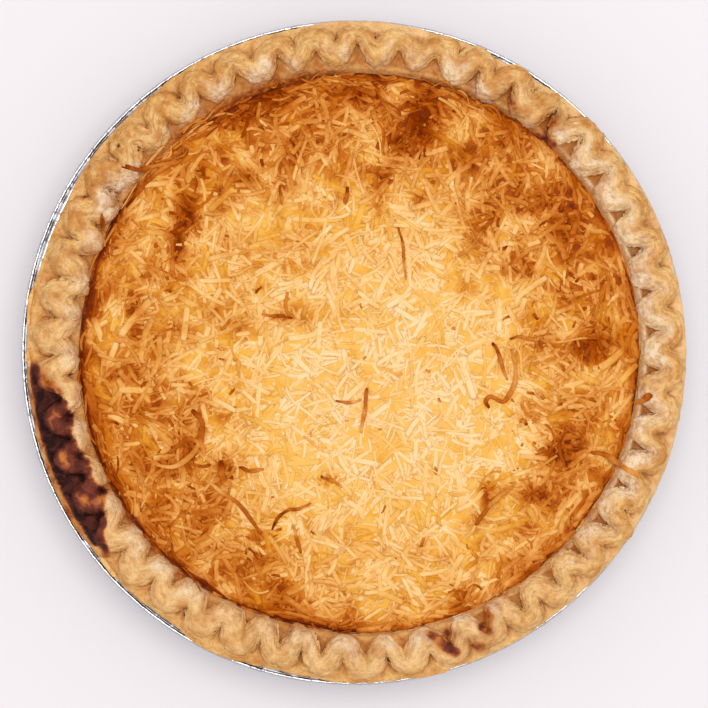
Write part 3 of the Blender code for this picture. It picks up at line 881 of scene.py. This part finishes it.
def makeCustard():
    v = custard
    turn = evenTurns(v["around"])
    share = np.linspace(0.008, 1, v["rings"])
    edge = fillRadius(turn) - v["gap"] - custardMiddle[0] * np.cos(turn)
    east, north = polar(edge[:, None] * share, turn[:, None])
    x, y = custardMiddle[0] + east, custardMiddle[1] + north
    z = custardHeight(x, y) + v["pores"] * cloud(x / 3, y / 3, 0.0, 22, 3) * ease(1, 0.97, share)
    footRadius, footHeight = v["foot"]
    foot = np.stack([*polar(footRadius, turn), np.full(len(turn), footHeight)], -1)
    points = np.concatenate([np.stack([x, y, z], -1), foot[:, None]], 1)
    top = [*custardMiddle, float(z[:, 0].mean())]
    points, faces = closedRing(points, top, [0, 0, footHeight], True)
    near = toastAt(points[:, 0], points[:, 1])
    toast = np.clip(near * (0.75 + 0.50 * ease(0.15, 0.6, near)), 0, 1)
    makePiece("custard_body", points, faces, makeCustardMaterial(), {"toast": toast},
              "custard_filling")


coconut = {
    "count": 6000,
    "stations": 6,
    "sides": 8,
    "scatter": 1.6,                 # off the even spiral that the shreds lie on
    "length": (5.0, 18.5),
    "width": (0.95, 2.2),
    "widthNear": 0.96,              # in the pale middle
    "widthFar": 1.10,
    "thickness": (0.18, 0.32),
    "sunk": (-0.14, 0.28),
    "drifts": 0.16,                 # piled up here and sunk there
    "combed": 0.75,                 # how many follow their neighbours' direction
    "stray": 0.26,                  # from that direction, in radians
    "bend": 0.11,                   # these two are shares of the length
    "twist": 0.07,
    "tilt": 0.03,
    "browning": (0.02, 1.00),       # a shred's own toast: base and share of the place's
    "uneven": (0.035, 0.070),       # spread of that toast where pale and where browned
    "ends": (-0.10, 0.16),          # how much browner at one end
    "soaked": (-0.06, 0.32),
    "soakedPatches": 1.20,          # more or less soaked from place to place
    "soakedBrown": 0.55,            # more soaked where browned
    "dry": (55.0, 62.0, 35.0, 28.0, 0.35),    # x, y, half widths, how much less soaked
    "edgeRoom": (1.4, -0.7, 1.1),   # left free along the edge: mean, east, ragged
    "kinds": {                      # each up to this share of all, from the palest
        "coconut_pale": 0.333,
        "coconut_golden": 0.667,
        "coconut_toasted": 1.0,
    },
}


def makeCoconutMaterial():
    material, tree, shader = newMaterial("coconutShred", {"Roughness": 0.6, "Specular IOR Level": 0.0})
    place = objectPlace(tree)
    toast = mottled(tree, attributeNode(tree, "toast"), place, 0.10, 0.05, Size=1.6, Low=0.3, High=0.7)
    # where a shred sinks in or has soaked, it takes the custard's tone
    dry, soaked = rampNode(tree, toast, coconutTones), rampNode(tree, toast, custardTones)
    feed(tree, shader, {
        "Base Color": mixColours(tree, attributeNode(tree, "melt"), dry, soaked),
        "Normal": groupNode(tree, "RoughSkin", place, Coarse=1.2, Fine=0.4, Strength=0.3, Depth=0.12)})
    return material


coconutMaterial = makeCoconutMaterial()


def meltValues(shape, soaking):
    # 0 along a shred's top, more on its shoulders and 1 underneath, and more all over on
    # a soaked one
    side = ease(0.92, -0.10, np.sin(evenTurns(shape[2], 0.5)))[None, None, :]
    return np.clip(side + (1 - side) * soaking[:, None, None] + np.zeros(shape), 0, 1)


def alongShred(draw, spread, shape):
    # a value that goes evenly from -d at one end of a shred to d at the other
    return draw.uniform(*spread, (shape[0], 1, 1)) * np.linspace(-1, 1, shape[1])[None, :, None]


def makeShreds(name, points, toasts, melts=None, flat=None, flip=False):
    values = {"toast": np.clip(toasts, 0, 1).ravel()}
    if melts is not None:
        values["melt"] = melts.ravel()
    faces = shredFaces(*points.shape[:3], flip)
    makePiece(name, points, faces, coconutMaterial, values, flat=flat)


def edgeRoom(turn):
    # width left free along the edge: mean + east cos + ragged noise
    mean, east, ragged = coconut["edgeRoom"]
    return np.maximum(swing(turn, mean, east) + ragged * ringCloud(turn, 11, 7.0, 45), 0.2)


def makeCoconut():
    # shreds on a sunflower spiral: radius sqrt(order), turned by the golden angle
    v = coconut
    draw = np.random.default_rng(5)
    count = v["count"]
    pick = lambda label: draw.uniform(*v[label], count)
    normal = lambda spread: draw.normal(0, spread, count)
    order = np.arange(count) + 0.5
    turn = order * np.pi * (3 - math.sqrt(5))
    length = pick("length") * draw.uniform(0.7, 1.0, count)
    reach = fillRadius(turn) - custardMiddle[0] * np.cos(turn) - edgeRoom(turn)
    east, north = polar(reach * np.sqrt(order / count), turn)
    x = custardMiddle[0] + east + normal(v["scatter"])
    y = custardMiddle[1] + north + normal(v["scatter"])
    heading = draw.uniform(0, np.pi, count)
    combed = 1.3 * np.pi * (1 + cloud(x / 10, y / 10, 2.0, 35, 2)) + normal(v["stray"])
    heading = np.where(draw.uniform(0, 1, count) < v["combed"], combed, heading)

    # near the edge a shred turns to lie along it, and none reaches into the crust
    out = np.hypot(x - custardMiddle[0], y)
    bearing = np.arctan2(y, x - custardMiddle[0])
    limit = fillRadius(bearing) - custardMiddle[0] * np.cos(bearing) - edgeRoom(bearing) * 0.75
    pull = np.minimum(1, (limit - 0.8) / out)
    x = custardMiddle[0] + (x - custardMiddle[0]) * pull
    y = y * pull
    steep = np.minimum(1, np.maximum(limit - out * pull, 0.1) / (0.5 * length))
    radial = np.abs(np.cos(heading - bearing))
    tangent = bearing + np.pi / 2 + draw.choice([-1, 1], count) * np.arcsin(np.clip(steep, 0, 1)) * 0.9
    heading = np.where(radial > steep, tangent, heading)

    # flatter where pale. The browner a shred is for its place, the narrower and more bent.
    outward = ease(15, 75, np.hypot(x - toasting["middle"][0], y - toasting["middle"][1]))
    lift = pick("sunk") + v["drifts"] * cloud(x / 6, y / 6, 2.0, 47, 3)
    z = custardHeight(x, y) + lift * (0.4 + 0.6 * outward)
    shade = normal(1)
    curl = np.clip(0.7 + 0.4 * shade, 0.25, 1.6) * length
    bend, twist, tilt = normal(v["bend"]) * curl, normal(v["twist"]) * curl, normal(v["tilt"])
    width = pick("width") * (0.75 + 0.25 * length / v["length"][1])
    width = width * (v["widthNear"] + (v["widthFar"] - v["widthNear"]) * outward)
    width = width * np.clip(1 - 0.2 * shade, 0.5, 1.3)
    thickness = pick("thickness") * (0.55 + 0.45 * outward)
    points = shredArrays((x, y, z), heading, length, width, thickness, bend, twist, tilt,
                         v["stations"], v["sides"])

    placeToast = toastAt(x, y)
    even, uneven = v["uneven"]
    own = shade * (even + (uneven - even) * ease(0.1, 0.6, placeToast))
    base, share = v["browning"]
    toasts = base + share * toastAt(points[..., 0], points[..., 1]) + own[:, None, None]
    toasts = np.clip(toasts + alongShred(draw, v["ends"], points.shape), 0.0, 0.98)
    soaking = pick("soaked") + v["soakedPatches"] * cloud(x / 6, y / 6, 1.0, 46, 3)
    soaking = soaking + v["soakedBrown"] * ease(0.5, 0.9, placeToast)
    east, north, wide, high, less = v["dry"]
    soaking = soaking - less * np.exp(-((x - east) / wide) ** 2 - ((y - north) / high) ** 2)
    melts = meltValues(toasts.shape, np.clip(soaking, 0, 1))
    byToast = toasts.mean((1, 2)).argsort()
    half = v["sides"] // 2
    low = 0
    for name, share in v["kinds"].items():
        high = round(share * count)
        mine = byToast[low:high]
        low = high
        # the narrow sides are flat, so that a shred's top stays evenly lit, and so are the ends
        quads = np.arange(len(mine) * (v["stations"] - 1) * v["sides"])
        flat = np.concatenate([quads % half == half - 1, np.ones(2 * len(mine), bool)])
        makeShreds(name, points[mine], toasts[mine], melts[mine], flat)


# Short browned bits, in loose clusters.
bits = {
    "count": 300,
    "stations": 6,
    "sides": 8,
    "reach": 97.0,                  # from the middle
    "length": (1.2, 4.2),
    "width": (0.8, 1.7),
    "thickness": (0.4, 0.6),
    "lift": (-0.05, 0.25),
    "bend": 0.1,                    # a share of the length
    "toast": (0.60, 0.90),
    "ends": (-0.2, 0.2),
}


def makeBits():
    # they gather where the place is browner and where a patchy noise is high
    v = bits
    draw = np.random.default_rng(37)
    count = v["count"]
    pick = lambda label: draw.uniform(*v[label], count)
    tries = count * 8
    angle = draw.uniform(0, fullTurn, tries)
    x, y = polar(v["reach"] * np.sqrt(draw.uniform(0, 1, tries)), angle)
    x = custardMiddle[0] + x
    near = toastAt(x, y)
    crowd = 0.04 + 0.5 * ease(0.2, 0.7, cloud(x / 9, y / 9, 3.0, 38, 2)) + 1.6 * ease(0.25, 0.8, near)
    kept = np.argsort(draw.uniform(0, 1, tries) / crowd)[:count]
    x, y = x[kept], y[kept]
    z = custardHeight(x, y) + pick("lift")
    length = pick("length")
    heading, width, thickness = draw.uniform(0, np.pi, count), pick("width"), pick("thickness")
    bend = draw.normal(0, v["bend"], count) * length
    points = shredArrays((x, y, z), heading, length, width, thickness, bend, 0 * bend, 0 * bend,
                         v["stations"], v["sides"])
    along = alongShred(draw, v["ends"], points.shape)
    own = pick("toast") - 0.16 * ease(0.35, 0.1, near[kept])
    toasts = own[:, None, None] + along + np.zeros(points.shape[:3])
    makeShreds("coconut_bits", points, toasts, meltValues(toasts.shape, np.full(count, 0.2)))


# Dark strands that stand out, each a run of places (x, y) in mm.
strands = {
    "rightHook": [(58, 1.4), (59.4, -4.5), (59, -10.8), (56.8, -15.6), (54.6, -17.8), (50.6, -16),
                  (48.7, -18.1), (49.9, -20.3)],
    "rightCurl": [(51, 3.6), (53.9, -1.6), (56.5, -10)],
    "rightTop": [(57.5, 5), (62, 5.8), (67.5, 4.7)],
    "lowerArc": [(-30, -65.2), (-27.8, -60.4), (-23.7, -57.5), (-20, -57.5), (-15.6, -55.3)],
    "lowerBlob": [(-12, -45.4), (-8.5, -47), (-4.2, -49.4)],
    "lowerDown": [(-22.3, -63.4), (-20.8, -68), (-19.3, -73.7)],
    "leftLong": [(-54.6, -46.8), (-49, -50.5), (-42.9, -55.3), (-33.7, -66.7)],
    "leftLoop": [(-59.4, -21), (-55.4, -25.9), (-56.1, -32.5), (-54.3, -38.7)],
    "leftCurl": [(-72.7, -41.3), (-66, -41.9), (-60, -38.5), (-56.8, -33.6), (-61.3, -32.1),
                 (-67.9, -36.9)],
    "leftHook": [(-48.7, -39.5), (-48, -46.8), (-44.7, -48.7)],
    "leftDash": [(-42.1, -42), (-38, -43.2), (-32.9, -42.8)],
    "lowerLeft": [(-38.8, -71.8), (-32.9, -75.9), (-26.7, -76.3)],
    "lowerRight": [(45, -63.4), (48.2, -58.6), (51.7, -54.6), (59, -48.7)],
    "middleDown": [(5, -13), (4, -21), (2.8, -29.5)],
    "middleDash": [(-6.6, -17.7), (-1.5, -18.6), (3, -17.2)],
    "rightDash": [(66.8, -13.7), (69, -15.8), (70, -17)],
    "upperRun": [(16.4, 46.6), (18.4, 37), (19.3, 26.7)],
    "upperLong": [(38.4, 35.2), (45.5, 42), (51.7, 50)],
    "topHook": [(-34.4, 92.2), (-35.5, 84.9), (-32.9, 81.6)],
    "leftUpright": [(-27, 61.6), (-26.3, 54.3)],
    "upperDash": [(-2, 61), (-3.1, 54.3)],
    "midLeft": [(-48.7, 8.4), (-45, 12), (-43.6, 13.5)],
    "midLeftBar": [(-33.7, 14.2), (-28, 13.4), (-22.3, 12.8)],
    "rimLeft": [(-85.2, 68.3), (-79, 67.2), (-73.8, 68.3), (-63.8, 70.2)],
    "wallLeft": [(-65.3, 71.0), (-72.5, 65.6), (-78.5, 59.6), (-83.7, 53.5)],
    "wallUpright": [(-91.8, 50.6), (-92.2, 45.0), (-91.4, 39.0)],
    "rimRight": [(87.5, -36.6), (93.3, -38), (98.5, -41.5), (104.7, -45.4)],
    "rimRightTop": [(103.2, -18.9), (106, -16.8), (109.1, -15.6)],
}
strandLook = {
    "radius": 0.70,
    "flat": 0.5,
    "lift": 0.42,
    "arch": 0.4,
    "sway": 0.25,
    "toast": (0.46, 0.70),
    "darkEnd": 0.34,
    "stations": 26,
    "sides": 8,
    "paler": {"leftCurl": 0.12, "leftLoop": 0.08, "leftHook": 0.06, "rimRight": 0.08},
    "broad": {"leftCurl": 1.7, "leftLoop": 1.5, "lowerRight": 1.7, "rimLeft": 1.6, "wallLeft": 1.4,
              "rimRight": 1.6, "rimRightTop": 1.7, "rightHook": 1.2, "leftHook": 1.5},
}


def smoothPath(places, stations):
    # Catmull-Rom curve through the places, at even parameter steps
    knots = np.array(places, float)
    knots = np.vstack([2 * knots[0] - knots[1], knots, 2 * knots[-1] - knots[-2]])
    t = np.linspace(0, len(places) - 1 - 1e-6, stations)
    i = t.astype(int)
    f = (t - i)[:, None]
    a, b, c, d = knots[i], knots[i + 1], knots[i + 2], knots[i + 3]
    return 0.5 * (2 * b + (c - a) * f + (2 * a - 5 * b + 4 * c - d) * f ** 2
                  + (3 * b - a - 3 * c + d) * f ** 3)


def groundHeight(x, y):
    # the custard inside the rim, and beyond it just over the pastry under each place
    out = np.hypot(x, y)
    radius, height = crustTopRows["radius"], crustTopRows["height"]
    column = (np.arctan2(y, x) % fullTurn / fullTurn * len(radius)).astype(int) % len(radius)
    low = np.clip((radius[column] <= out[:, None]).sum(1) - 1, 0, radius.shape[1] - 2)
    start, end = radius[column, low], radius[column, low + 1]
    share = np.clip((out - start) / np.maximum(end - start, 1e-6), 0, 1)
    pastryHeight = height[column, low] * (1 - share) + height[column, low + 1] * share + 0.6
    return np.where(out > 101.0, np.maximum(custardHeight(x, y), pastryHeight), custardHeight(x, y))


def makeStrands():
    # a flattened tube along each path, which sways a little and lies on what is below it
    v = strandLook
    draw = np.random.default_rng(8)
    share = np.linspace(0, 1, v["stations"])
    turn = evenTurns(v["sides"], 0.5)
    allPoints, allToast = [], []
    for name, places in strands.items():
        path = smoothPath(places, v["stations"])
        sway = v["sway"] * np.sin(draw.uniform(4, 9) * share[:, None] + draw.uniform(0, 6, (1, 2)))
        path = path + sway * ease(0, 0.2, share * (1 - share))[:, None]
        tangent = np.gradient(path, axis=0)
        tangent /= np.linalg.norm(tangent, axis=1, keepdims=True)
        sideways = np.stack([-tangent[:, 1], tangent[:, 0]], -1)
        size = v["radius"] * v["broad"].get(name, 1.0) * draw.uniform(0.8, 1.2)
        size = size * (0.5 + 0.5 * np.sin(np.pi * share) ** 0.5)
        size = size * (1 + 0.14 * np.sin(draw.uniform(8, 15) * share + draw.uniform(0, 6)))
        ground = groundHeight(path[:, 0], path[:, 1])
        # it spans hollows: its foot is never lower than half way between its neighbours
        for _ in range(4):
            padded = np.pad(ground, 1, mode="edge")
            ground = np.maximum(ground, 0.5 * (padded[:-2] + padded[2:]))
        height = np.minimum(ground + v["lift"], crustTop - 1.2)
        height = height + v["arch"] * np.sin(np.pi * share) * draw.uniform(0.3, 1.0)
        across = size[:, None] * np.cos(turn)
        flat = path[:, None, :] + sideways[:, None, :] * across[..., None]
        up = height[:, None] + v["flat"] * size[:, None] * np.sin(turn)
        allPoints.append(np.concatenate([flat, up[..., None]], -1))
        burn = draw.uniform(*v["toast"]) - v["paler"].get(name, 0)
        darker = share if draw.uniform() < 0.5 else 1 - share
        burn = burn + v["darkEnd"] * darker ** 1.5
        burn = burn + 0.06 * np.sin(draw.uniform(6, 20) * share + draw.uniform(0, 6))
        allToast.append(burn[:, None] + 0 * up)
    makeShreds("coconut_dark_strands", np.array(allPoints), np.array(allToast))


# Browned shreds that lie in tangles over the dark patches, and long ones along the wall.
tangles = {
    "each": 22,                     # times a patch's strength and size
    "stations": 11,
    "sides": 8,
    "spread": 0.95,
    "reach": (88.0, 96.0),          # from the middle: where they turn along the edge, and the last
    "length": (4.0, 13.0),
    "width": (0.7, 1.5),
    "thickness": (0.4, 0.6),
    "lift": (0.0, 0.35),
    "bend": 0.11,                   # these two are shares of the length
    "twist": 0.09,
    "tilt": 0.04,
    "browner": (-0.14, 0.16),       # than the place
    "toast": (0.26, 0.84),
    "ends": (-0.14, 0.14),
    "soaked": (0.1, 0.9),
}
wallStrands = {
    "count": 70,
    "stations": 16,
    "sides": 6,
    "crowdShare": 0.36,             # of them, at the crowd's turn and spread
    "crowd": (math.radians(126), math.radians(12)),
    "crowdOut": 1.8,                # how much further out and paler those are
    "crowdPaler": 0.14,
    "from": math.radians(52),
    "to": math.radians(236),
    "outside": (-4.5, 0.3),         # of the fill line
    "length": (4.0, 12.0),
    "bow": 1.0,                     # how it sways off the fill line, and slants across it
    "slant": 2.2,
    "lift": (0.1, 0.7),
    "width": (0.7, 1.4),
    "halfThickness": 0.3,
    "toast": (0.52, 0.90),
}


def makeTangles():
    v = tangles
    draw = np.random.default_rng(23)
    blots = np.array([blot for blot in toasting["patches"] if blot[4] > 0.12])
    number = v["each"] * blots[:, 4] * np.sqrt(blots[:, 2] * blots[:, 3] / 60)
    blots = blots.repeat(number.astype(int), 0)
    count = len(blots)
    pick = lambda label: draw.uniform(*v[label], count)
    normal = lambda spread: draw.normal(0, spread, count)
    x = blots[:, 0] + v["spread"] * blots[:, 2] * normal(1)
    y = blots[:, 1] + v["spread"] * blots[:, 3] * normal(1)
    edge, last = v["reach"]
    pull = np.minimum(1, last / np.hypot(x - custardMiddle[0], y))
    x, y = custardMiddle[0] + (x - custardMiddle[0]) * pull, y * pull
    length = pick("length")
    heading = draw.uniform(0, np.pi, count)
    nearEdge = np.hypot(x - custardMiddle[0], y) > edge
    heading = np.where(nearEdge, np.arctan2(y, x) + np.pi / 2 + normal(0.25), heading)
    z = custardHeight(x, y) + pick("lift")
    width, thickness = pick("width"), pick("thickness")
    bend, twist, tilt = normal(v["bend"]) * length, normal(v["twist"]) * length, normal(v["tilt"])
    points = shredArrays((x, y, z), heading, length, width, thickness, bend, twist, tilt,
                         v["stations"], v["sides"])
    toast = np.clip(toastAt(x, y) + pick("browner"), *v["toast"])
    along = alongShred(draw, v["ends"], points.shape)
    toasts = toast[:, None, None] + along + np.zeros(points.shape[:3])
    makeShreds("coconut_tangles", points, toasts, meltValues(toasts.shape, pick("soaked")))


def makeWallStrands():
    # each follows the fill line: radius = fill + offset + bow sin(pi s) + slant (s - 1/2)
    v = wallStrands
    draw = np.random.default_rng(29)
    share = np.linspace(0, 1, v["stations"])
    angle = evenTurns(v["sides"])
    allPoints, allToast = [], []
    for _ in range(v["count"]):
        start = draw.uniform(v["from"], v["to"])
        crowded = draw.uniform() < v["crowdShare"]
        if crowded:
            start = draw.normal(*v["crowd"])
        turn = start + np.linspace(0, draw.uniform(*v["length"]) / pastry["fill"][0], v["stations"])
        radius = fillRadius(turn) + draw.uniform(*v["outside"]) + v["crowdOut"] * crowded
        radius = radius + draw.normal(0, v["bow"]) * np.sin(np.pi * share)
        radius = radius + draw.normal(0, v["slant"]) * (share - 0.5)
        x, y = polar(radius, turn)
        z = groundHeight(x, y) + draw.uniform(*v["lift"])
        z = np.convolve(np.pad(z, 2, mode="edge"), np.full(5, 0.2), "valid")
        size = 0.5 * draw.uniform(*v["width"]) * (1 - 0.5 * np.abs(2 * share - 1) ** 3)
        wideX, wideY = polar(size[:, None] * np.cos(angle), turn[:, None])
        up = z[:, None] + v["halfThickness"] * np.sin(angle)
        allPoints.append(np.stack([x[:, None] + wideX, y[:, None] + wideY, up], -1))
        toast = draw.uniform(*v["toast"]) - v["crowdPaler"] * crowded
        allToast.append(np.full(up.shape, toast))
    makeShreds("coconut_wall_strands", np.array(allPoints), np.array(allToast), flip=True)


# The browned filling along the crust.
caramel = {
    "columns": 920,
    "rows": 14,
    "width": 3.7,
    "dip": 0.6,
    "climb": 0.35,
    "above": 0.12,                  # the custard's edge, and how far below its underside is
    "below": 1.2,
    # turn and half width in degrees, strength: where shreds climb the wall, where paler
    "climbing": ((138, 20, 1),),
    "paler": ((248, 15, 0.30), (134, 12, 0.55), (308, 14, 0.25)),
}


def makeCaramelMaterial():
    material, tree, shader = newMaterial("caramelEdge", {"Roughness": 0.34, "Specular IOR Level": 0.08})
    place = objectPlace(tree)
    dark = mottled(tree, attributeNode(tree, "dark"), place, 0.5, 0.25, Size=2.6, Low=0.36, High=0.64)
    feed(tree, shader, {
        "Base Color": rampNode(tree, dark, caramelTones),
        "Normal": groupNode(tree, "RoughSkin", place, Coarse=2.5, Fine=0.9, Strength=0.3, Depth=0.3)})
    return material


def makeCaramel():
    # a shallow gutter: across share s the height is level - dip sin(pi s) + climb s^6
    v = caramel
    turn = evenTurns(v["columns"])
    s = np.linspace(0, 1, v["rows"])
    west = ease(-0.2, 0.75, -facing(turn, 10))
    wander = ringCloud(turn, 9, 0.0, 41)
    climbing = addBulges(turn, v["climbing"], 2)
    width = v["width"] * (0.24 + 0.76 * west) * (1 - 0.4 * climbing) * np.clip(1 + 0.95 * wander, 0.2, 2)
    radius = (fillRadius(turn) + 0.35)[:, None] - width[:, None] * (1 - s)
    x, y = polar(radius, turn[:, None])
    climb = v["climb"] * (0.4 + 0.8 * west) * (1 + 0.5 * wander)
    height = custard["edgeHeight"] + v["above"] - v["dip"] * np.sin(np.pi * s) + climb[:, None] * s ** 6
    height = height + 0.12 * cloud(x / 3, y / 3, 0, 42, 2)
    top = np.stack([x, y, height], -1)
    under = top[:, ::-1].copy()
    under[..., 2] = custard["edgeHeight"] - v["below"]
    points = np.concatenate([top, under], 1)
    # less dark where shreds climb the wall
    dark = 0.80 + 0.16 * west - 0.66 * climbing - addBulges(turn, v["paler"], 2)
    dark = (dark + 0.45 * ringCloud(turn, 24, 0.0, 44))[:, None]
    start = 0.30 - 0.25 * west[:, None]
    dark = np.clip(dark * (0.30 + 0.70 * ease(start - 0.25, start + 0.35, s)), 0, 1)
    # the section closes: its last point joins up with its first
    columns, rows = points.shape[:2]
    loop = gridFaces(columns, rows + 1, True)
    column, row = loop // (rows + 1), loop % (rows + 1) % rows
    makePiece("caramel_edge", points, [column * rows + row], makeCaramelMaterial(),
              {"dark": np.concatenate([dark, dark[:, ::-1]], 1).ravel()})


foilTin = {
    "columns": 1656,
    "baseRadius": 94.5,
    "mouthRadius": 115.6,
    "depth": 30.0,
    "thickness": 0.4,
    "foot": 1.3,                    # radius of the bend at the base
    "roll": 0.66,
    "pleats": 92,
    "pleatDepth": 0.16,
    "crinkle": 0.2,
}


def makeFoilMaterial():
    material, tree, shader = newMaterial("pressedFoil", {"Roughness": 0.24, "Metallic": 1.0})
    place = objectPlace(tree)
    dull = groupNode(tree, "Mottle", place, Size=6.0, Low=0.3, High=0.7)
    colour = mixColours(tree, dull, (208, 208, 211), (182, 183, 187))
    feed(tree, shader, {
        # painted shade in the groove behind the rolled edge
        "Base Color": mixColours(tree, attributeNode(tree, "grooveShade"), colour, (66, 60, 62)),
        "Roughness": mathNode(tree, "MULTIPLY_ADD", dull, 0.12, 0.18),
        "Normal": groupNode(tree, "RoughSkin", place, Coarse=3.0, Fine=0.8, Strength=0.5, Depth=0.3)})
    return material


def makeTin():
    # a profile of radius and height, carried round the middle, with pleats on the wall:
    # radius - depth |sin(pleats turn / 2)|^0.6, and a crinkled rim
    v = foilTin
    turn = evenTurns(v["columns"])
    base, mouth, top = v["baseRadius"], v["mouthRadius"], v["depth"]
    foot, roll, half = v["foot"], v["roll"], v["thickness"] / 2

    # the third number tells the parts apart: up to 1 on the outer wall, 0.3 and 0.5 on
    # the rim, 0 inside
    profile = [(base - foot, 0.0, 0.0)]
    for angle in np.linspace(0, np.pi / 2, 5)[1:]:
        profile.append((base - foot + foot * math.sin(angle), foot * (1 - math.cos(angle)), 0.1))

    def addLine(start, run, count, part=None):
        # even steps along a straight run: start + run share
        for share in np.linspace(0, 1, count + 1)[1:]:
            tag = share if part is None else part
            profile.append((start[0] + run[0] * share, start[1] + run[1] * share, tag))

    addLine((base, foot), (mouth + 0.3 - base, top - half - foot), 13)
    wallRows = len(profile)
    addLine((mouth + 0.3, top - half), (tinRadius - 1.9 - mouth, 0), 4, 0.3)
    for degrees in range(215, 516, 25):
        rollX, rollZ = polar(roll, math.radians(degrees))
        profile.append((tinRadius - roll - 0.04 + rollX, top + 0.1 + rollZ, 0.5))
    profile += [(tinRadius - 1.45, top, 0.3), (tinRadius - 1.75, top + 0.05, 0.3),
                (tinRadius - 2.0, top + 0.32, 0.3)]
    addLine((tinRadius - 2.0, top + 0.3), (mouth + 2.0 - tinRadius, -0.1), 6, 0.3)
    addLine((mouth, top + half), (base - 0.5 - mouth, 1.5 - top - half), 5, 0.0)
    profile.append((base - 1.4, v["thickness"], 0.0))
    profile = np.array(profile)

    radius = profile[None, :, 0] + 0 * turn[:, None]
    height = profile[None, :, 1] + 0 * turn[:, None]
    outer = (np.arange(len(profile)) < wallRows) & (profile[:, 2] > 0.05)
    pleat = np.abs(np.sin(0.5 * v["pleats"] * turn))[:, None] ** 0.6
    radius = radius - outer * ease(0.1, 1, profile[:, 2]) * v["pleatDepth"] * pleat
    rim = (profile[:, 2] >= 0.25) & (profile[:, 1] > top - 1)
    ringNoise = lambda size, level, seed: noise(*polar(size, turn[:, None]), level, seed)
    crinkle = ringNoise(210, height * 2, 51) + 0.8 * ringNoise(94.5, height, 52)
    radius = radius - rim * v["crinkle"] * (0.6 + 0.5 * crinkle) * (profile[:, 0] > tinRadius - 2)
    wave = ringNoise(105, radius / 1.6, 53)
    height = height + rim * v["crinkle"] * (0.5 * crinkle + 0.6 * wave) * (height > top + 0.02)
    height = np.minimum(height, tinBox[1].z / mm)
    points = np.stack([*polar(radius, turn[:, None]), height], -1)
    points, faces = closedRing(points, [0, 0, 0], [0, 0, v["thickness"]])
    # painted shade: dark lengths in the groove behind the rolled edge, between bright ones
    inGroove = (profile[:, 0] > tinRadius - 2.1) & (profile[:, 0] < tinRadius - 1.6) & rim
    lengths = ease(-0.1, 0.12, ringCloud(turn, 34, 0.0, 54))[:, None]
    makePiece("pressed_foil_tin", points, faces, makeFoilMaterial(),
              {"grooveShade": np.append(lengths * inGroove, [0, 0])}, "foil_tin")


studio = {
    "floorColour": (235, 230, 232),
    "cameraHeight": 930.0,
    "frameHalf": 130.24,            # half the frame's width at the rim
    "rimHeight": 30.8,
    "lookAt": (0.18, -0.48),
    "sky": (0.62, 0.86),            # at the horizon and overhead
    "skyColour": (0.985, 0.98, 1.0, 1.0),
    "keyPlace": (0.10, 0.14, 1.40),           # the key light, in metres and watts
    "keySize": 0.9,
    "keyPower": 8.6,
    "keyColour": (1.0, 0.985, 0.96),
}


def addObject(name, data, place=(0, 0, 0)):
    thing = bpy.data.objects.new(name, data)
    thing.location = place
    bpy.context.scene.collection.objects.link(thing)
    return thing


def makeFloor():
    mesh = bpy.data.meshes.new("floor")
    half = 2.5
    corners = [(-half, -half, 0), (half, -half, 0), (half, half, 0), (-half, half, 0)]
    mesh.from_pydata(corners, [], [(0, 1, 2, 3)])
    inputs = {"Base Color": srgb(*studio["floorColour"]), "Roughness": 0.8, "Specular IOR Level": 0.1}
    mesh.materials.append(newMaterial("paleFloor", inputs)[0])
    addObject("floor", mesh)


def makeLight():
    v = studio
    data = bpy.data.lights.new("keyLight", "AREA")
    data.shape = "DISK"
    data.size = v["keySize"]
    data.energy = v["keyPower"]
    data.color = v["keyColour"]
    lamp = addObject("keyLight", data, v["keyPlace"])
    lamp.rotation_mode = "QUATERNION"
    lamp.rotation_quaternion = lamp.location.to_track_quat("Z", "Y")


def makeWorld():
    # light that grows from the horizon to overhead
    world = bpy.data.worlds.new("studioWorld")
    world.use_nodes = True
    tree = world.node_tree
    split = tree.nodes.new("ShaderNodeSeparateXYZ")
    feed(tree, split, {0: tree.nodes.new("ShaderNodeTexCoord").outputs["Generated"]})
    horizon, zenith = studio["sky"]
    spread = tree.nodes.new("ShaderNodeMapRange")
    feed(tree, spread, {"Value": split.outputs["Z"], "To Min": horizon, "To Max": zenith})
    sky = {"Color": studio["skyColour"], "Strength": spread.outputs["Result"]}
    feed(tree, tree.nodes["Background"], sky)
    bpy.context.scene.world = world


def makeStudio():
    makeFloor()
    makeWorld()
    makeLight()
    v = studio
    data = bpy.data.cameras.new("overhead")
    data.sensor_width = 36.0
    data.lens = data.sensor_width / 2 * (v["cameraHeight"] - v["rimHeight"]) / v["frameHalf"]
    data.clip_start = 0.05
    x, y = v["lookAt"]
    bpy.context.scene.camera = addObject("overhead", data, (x * mm, y * mm, v["cameraHeight"] * mm))
    bpy.context.scene.view_settings.view_transform = "Standard"
    print("studio: floor, sky, key light and camera")


makeTin()
makeCrust()
makeDoughSlivers()
makeCustard()
makeCaramel()
makeCoconut()
makeBits()
makeTangles()
makeWallStrands()
makeStrands()
makeStudio()
